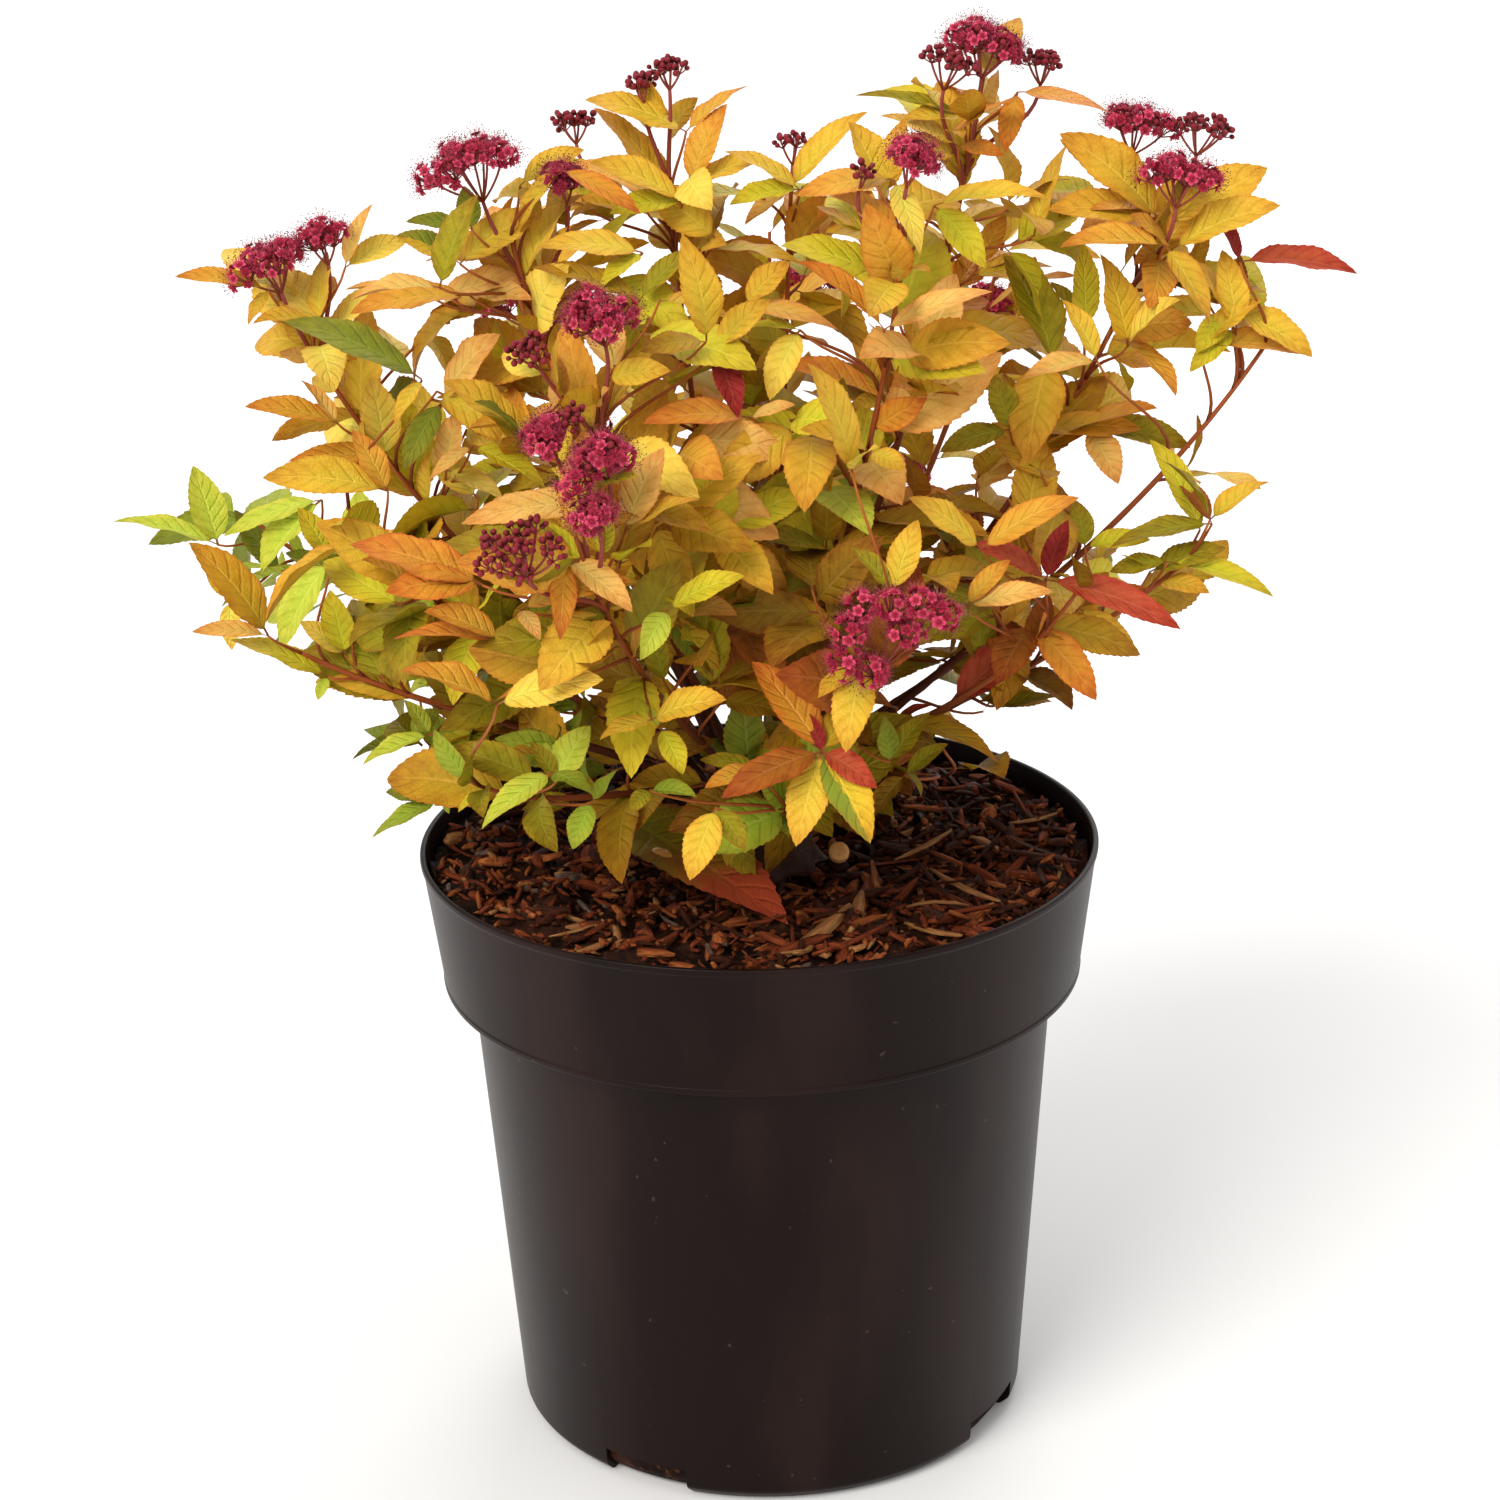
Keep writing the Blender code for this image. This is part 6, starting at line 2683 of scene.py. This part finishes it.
    def kept_leaves(self) -> LeafBatch:
        """The leaves that stay inside the box and leave the photograph's gaps, heads and leaves in view.

        Returns:
            The leaves.
        """
        store, camera = self.leaves, self.camera
        kept = LeafBatch.together(store.batches)
        lowest, rim = self.pot.height + self.over_pot, self.pot.rim_radius + self.past_rim
        kept = store.within_box(kept, lowest, rim)
        kept = store.clear_of(kept, np.concatenate([SKY_WINDOWS, MULCH_WINDOWS]))
        points = [point for point, _ in self.head_targets]
        _, distance = camera.seen(np.array(points))
        radii = np.array([radius for _, radius in self.head_targets]) * camera.focal_pixels / distance
        kept = store.clear_before(kept, points, radii)
        recesses = [camera.point((x, y), self.recess_depth) for x, y, _ in RECESSES]
        kept = store.clear_before(kept, recesses, RECESSES[:, 2])
        radii = np.full(len(self.leaf_targets), self.target_pixels)
        kept = store.clear_before(kept, self.leaf_targets, radii)
        # Darker tints low down and inside the crown: painted shade.
        return self.deepened(kept)

    def deepened(self, leaves: LeafBatch) -> LeafBatch:
        """The leaves with deeper tints dealt, as painted shade, to many of those low down and inside the
        crown.

        A leaf's chance is low x (0.62 + 0.7 x inner): low goes from 0 at deep_top down to 1 at
        deep_foot, and inner from 0 at the outside to 1 near the axis.

        Args:
            leaves: The leaves.

        Returns:
            The leaves.
        """
        low = np.clip((self.deep_top - leaves.bases[:, 2]) / (self.deep_top - self.deep_foot), 0, 1)
        inner = np.clip(1.25 - np.hypot(leaves.bases[:, 0], leaves.bases[:, 1]) / (90 * MM), 0, 1)
        is_shaded = self.chance.random(len(low)) < low * (0.62 + 0.7 * inner)
        is_shaded &= leaves.ranks < Rank.SEEN.value
        swaps = np.array([TINTS.index(SHADE_SWAPS.get(tint, tint)) for tint in TINTS])
        leaves.tints = np.where(is_shaded, swaps[leaves.tints], leaves.tints)
        return leaves

    def stem_ends(self, leaves: LeafBatch) -> dict[str, float]:
        """How far each stem goes along its route, so that no bare end stands past its last joint.

        Args:
            leaves: The kept leaves.

        Returns:
            The share at each shoot's end.
        """
        bearing = np.unique(leaves.owners[leaves.owners >= 0])
        twig_starts = [self.twigs[index].controls[0] for index in bearing]
        joints = np.concatenate([leaves.bases, twig_starts, [path[0] for path in self.stalks]])
        shares = np.linspace(0, 1, 301)
        ends = {}
        for name, route in self.routes.items():
            gaps = np.linalg.norm(joints[:, None] - route.at(shares), axis=-1)
            near = np.nonzero((gaps < self.joint_gap).any(axis=0))[0]
            ends[name] = float(shares[near.max()]) if len(near) else self.bare_end
        return ends

    def twig_shell(self, leaves: LeafBatch) -> Shell:
        """The twigs that bear kept leaves, each up to its last leaf and tapering by two fifths.

        Args:
            leaves: The kept leaves.

        Returns:
            The shell.
        """
        steps = np.linspace(0, 1, 41)
        taper = self.twig_radius * np.linspace(1.0, 0.6, 9)
        paths = []
        for index in np.unique(leaves.owners[leaves.owners >= 0]):
            route = self.twigs[index]
            bases = leaves.bases[leaves.owners == index]
            gaps = np.linalg.norm(bases[:, None] - route.at(steps), axis=-1)
            last = steps[gaps.argmin(axis=1).max()]
            paths.append(route.at(np.linspace(0, last, len(taper))))
        return tubes(np.stack(paths), np.tile(taper, (len(paths), 1)), 7)

    def make(self, whole: LeafBatch) -> None:
        """Makes and dresses the twigs, the leaves of each tint and the blossom.

        Args:
            whole: The kept leaves.
        """
        LOG.info("%d leaves", len(whole.bases))
        make_piece("twigs", self.twig_shell(whole), TWIG_BARK)
        for index, tint in enumerate(TINTS):
            mine = whole.picked(whole.tints == index)
            if len(mine.bases):
                name = f"leaves_{tint.name.lower()}"
                make_piece(name, mine.shell(LeafPattern()), tint.value)
        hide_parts(*[f"foliage_{shoot.name}" for shoot in SHOOTS])
        self.blossom.make(self.stalks)


@dataclass
class LowLeaf:
    """The large old leaf that lies on the mulch at the front, with a drop of water on it."""

    camera: StudioCamera
    base_pixel: Pixel = (592, 803)
    tip_pixel: Pixel = (789, 925)
    drop_pixel: Pixel = (662, 860)
    base_height: float = 180 * MM
    tip_height: float = 169 * MM
    width: float = 0.32
    arch: float = 0.24
    fold: float = 0.28
    twist: float = 0.2
    wave: float = 0.05
    phase: float = 0.6
    seen_shares: tuple[float, ...] = (0.4, 0.55, 0.7, 0.9)
    drop_share: float = 0.42
    drop_lift: float = 1.5 * MM
    drop_radius: float = 4.0 * MM
    drop_width_share: float = 0.66
    drop_height_share: float = 0.40

    def __post_init__(self) -> None:
        """Works out the leaf's base and tip."""
        self.base = self.camera.point_at_height(self.base_pixel, self.base_height)
        self.tip = self.camera.point_at_height(self.tip_pixel, self.tip_height)

    def targets(self) -> list[np.ndarray]:
        """The points on the leaf that other leaves leave in view."""
        return [self.base + (self.tip - self.base) * share for share in self.seen_shares]

    def make(self) -> None:
        """Makes the leaf and the drop."""
        span = self.tip - self.base
        chord = unit(span)
        upper = square_to(UP + np.array([0.1, -0.5, 0.0]), chord)
        way = unit(chord + 0.12 * upper)
        shape = (self.width, self.arch, self.fold, self.twist, self.wave, self.phase)
        rows = (self.base, way, square_to(upper, way), np.linalg.norm(span), *shape, 0, 0, 0)
        leaf = LeafBatch(*(np.asarray(row)[None] for row in rows))
        make_piece("low_leaf", leaf.shell(LeafPattern(rows=16)), FALLEN.value)
        rib = leaf.rib(self.drop_share)[0, 0]
        ray = self.camera.ray(self.drop_pixel)
        start = self.camera.place
        middle = start + ray * ((rib - start) @ upper) / (ray @ upper) + upper * self.drop_lift
        side = np.cross(chord, upper) * self.drop_width_share
        frames = np.stack([chord, side, upper * self.drop_height_share])[None]
        drop = copies(ball(7, 16), middle[None], frames, np.array([self.drop_radius]))
        make_piece("water_drop", drop, WaterFinish())


def main() -> None:
    """Builds the studio and every part of the plant in order."""
    logging.basicConfig(level=logging.INFO, format="%(name)s %(message)s")
    camera = StudioCamera()
    camera.make()
    Studio().make()
    pot = NurseryPot()
    pot.make()
    MulchBed(pot, camera).make()
    woody = Frame()
    routes = woody.routes()
    low_leaf = LowLeaf(camera)
    low_leaf.make()
    crown = Crown(camera, routes, pot)
    crown.grow()
    crown.leaf_targets.extend(low_leaf.targets())
    leaves = crown.kept_leaves()
    woody.make(routes, crown.stem_ends(leaves))
    crown.make(leaves)
    bpy.context.view_layer.update()


if __name__ == "__main__":
    main()
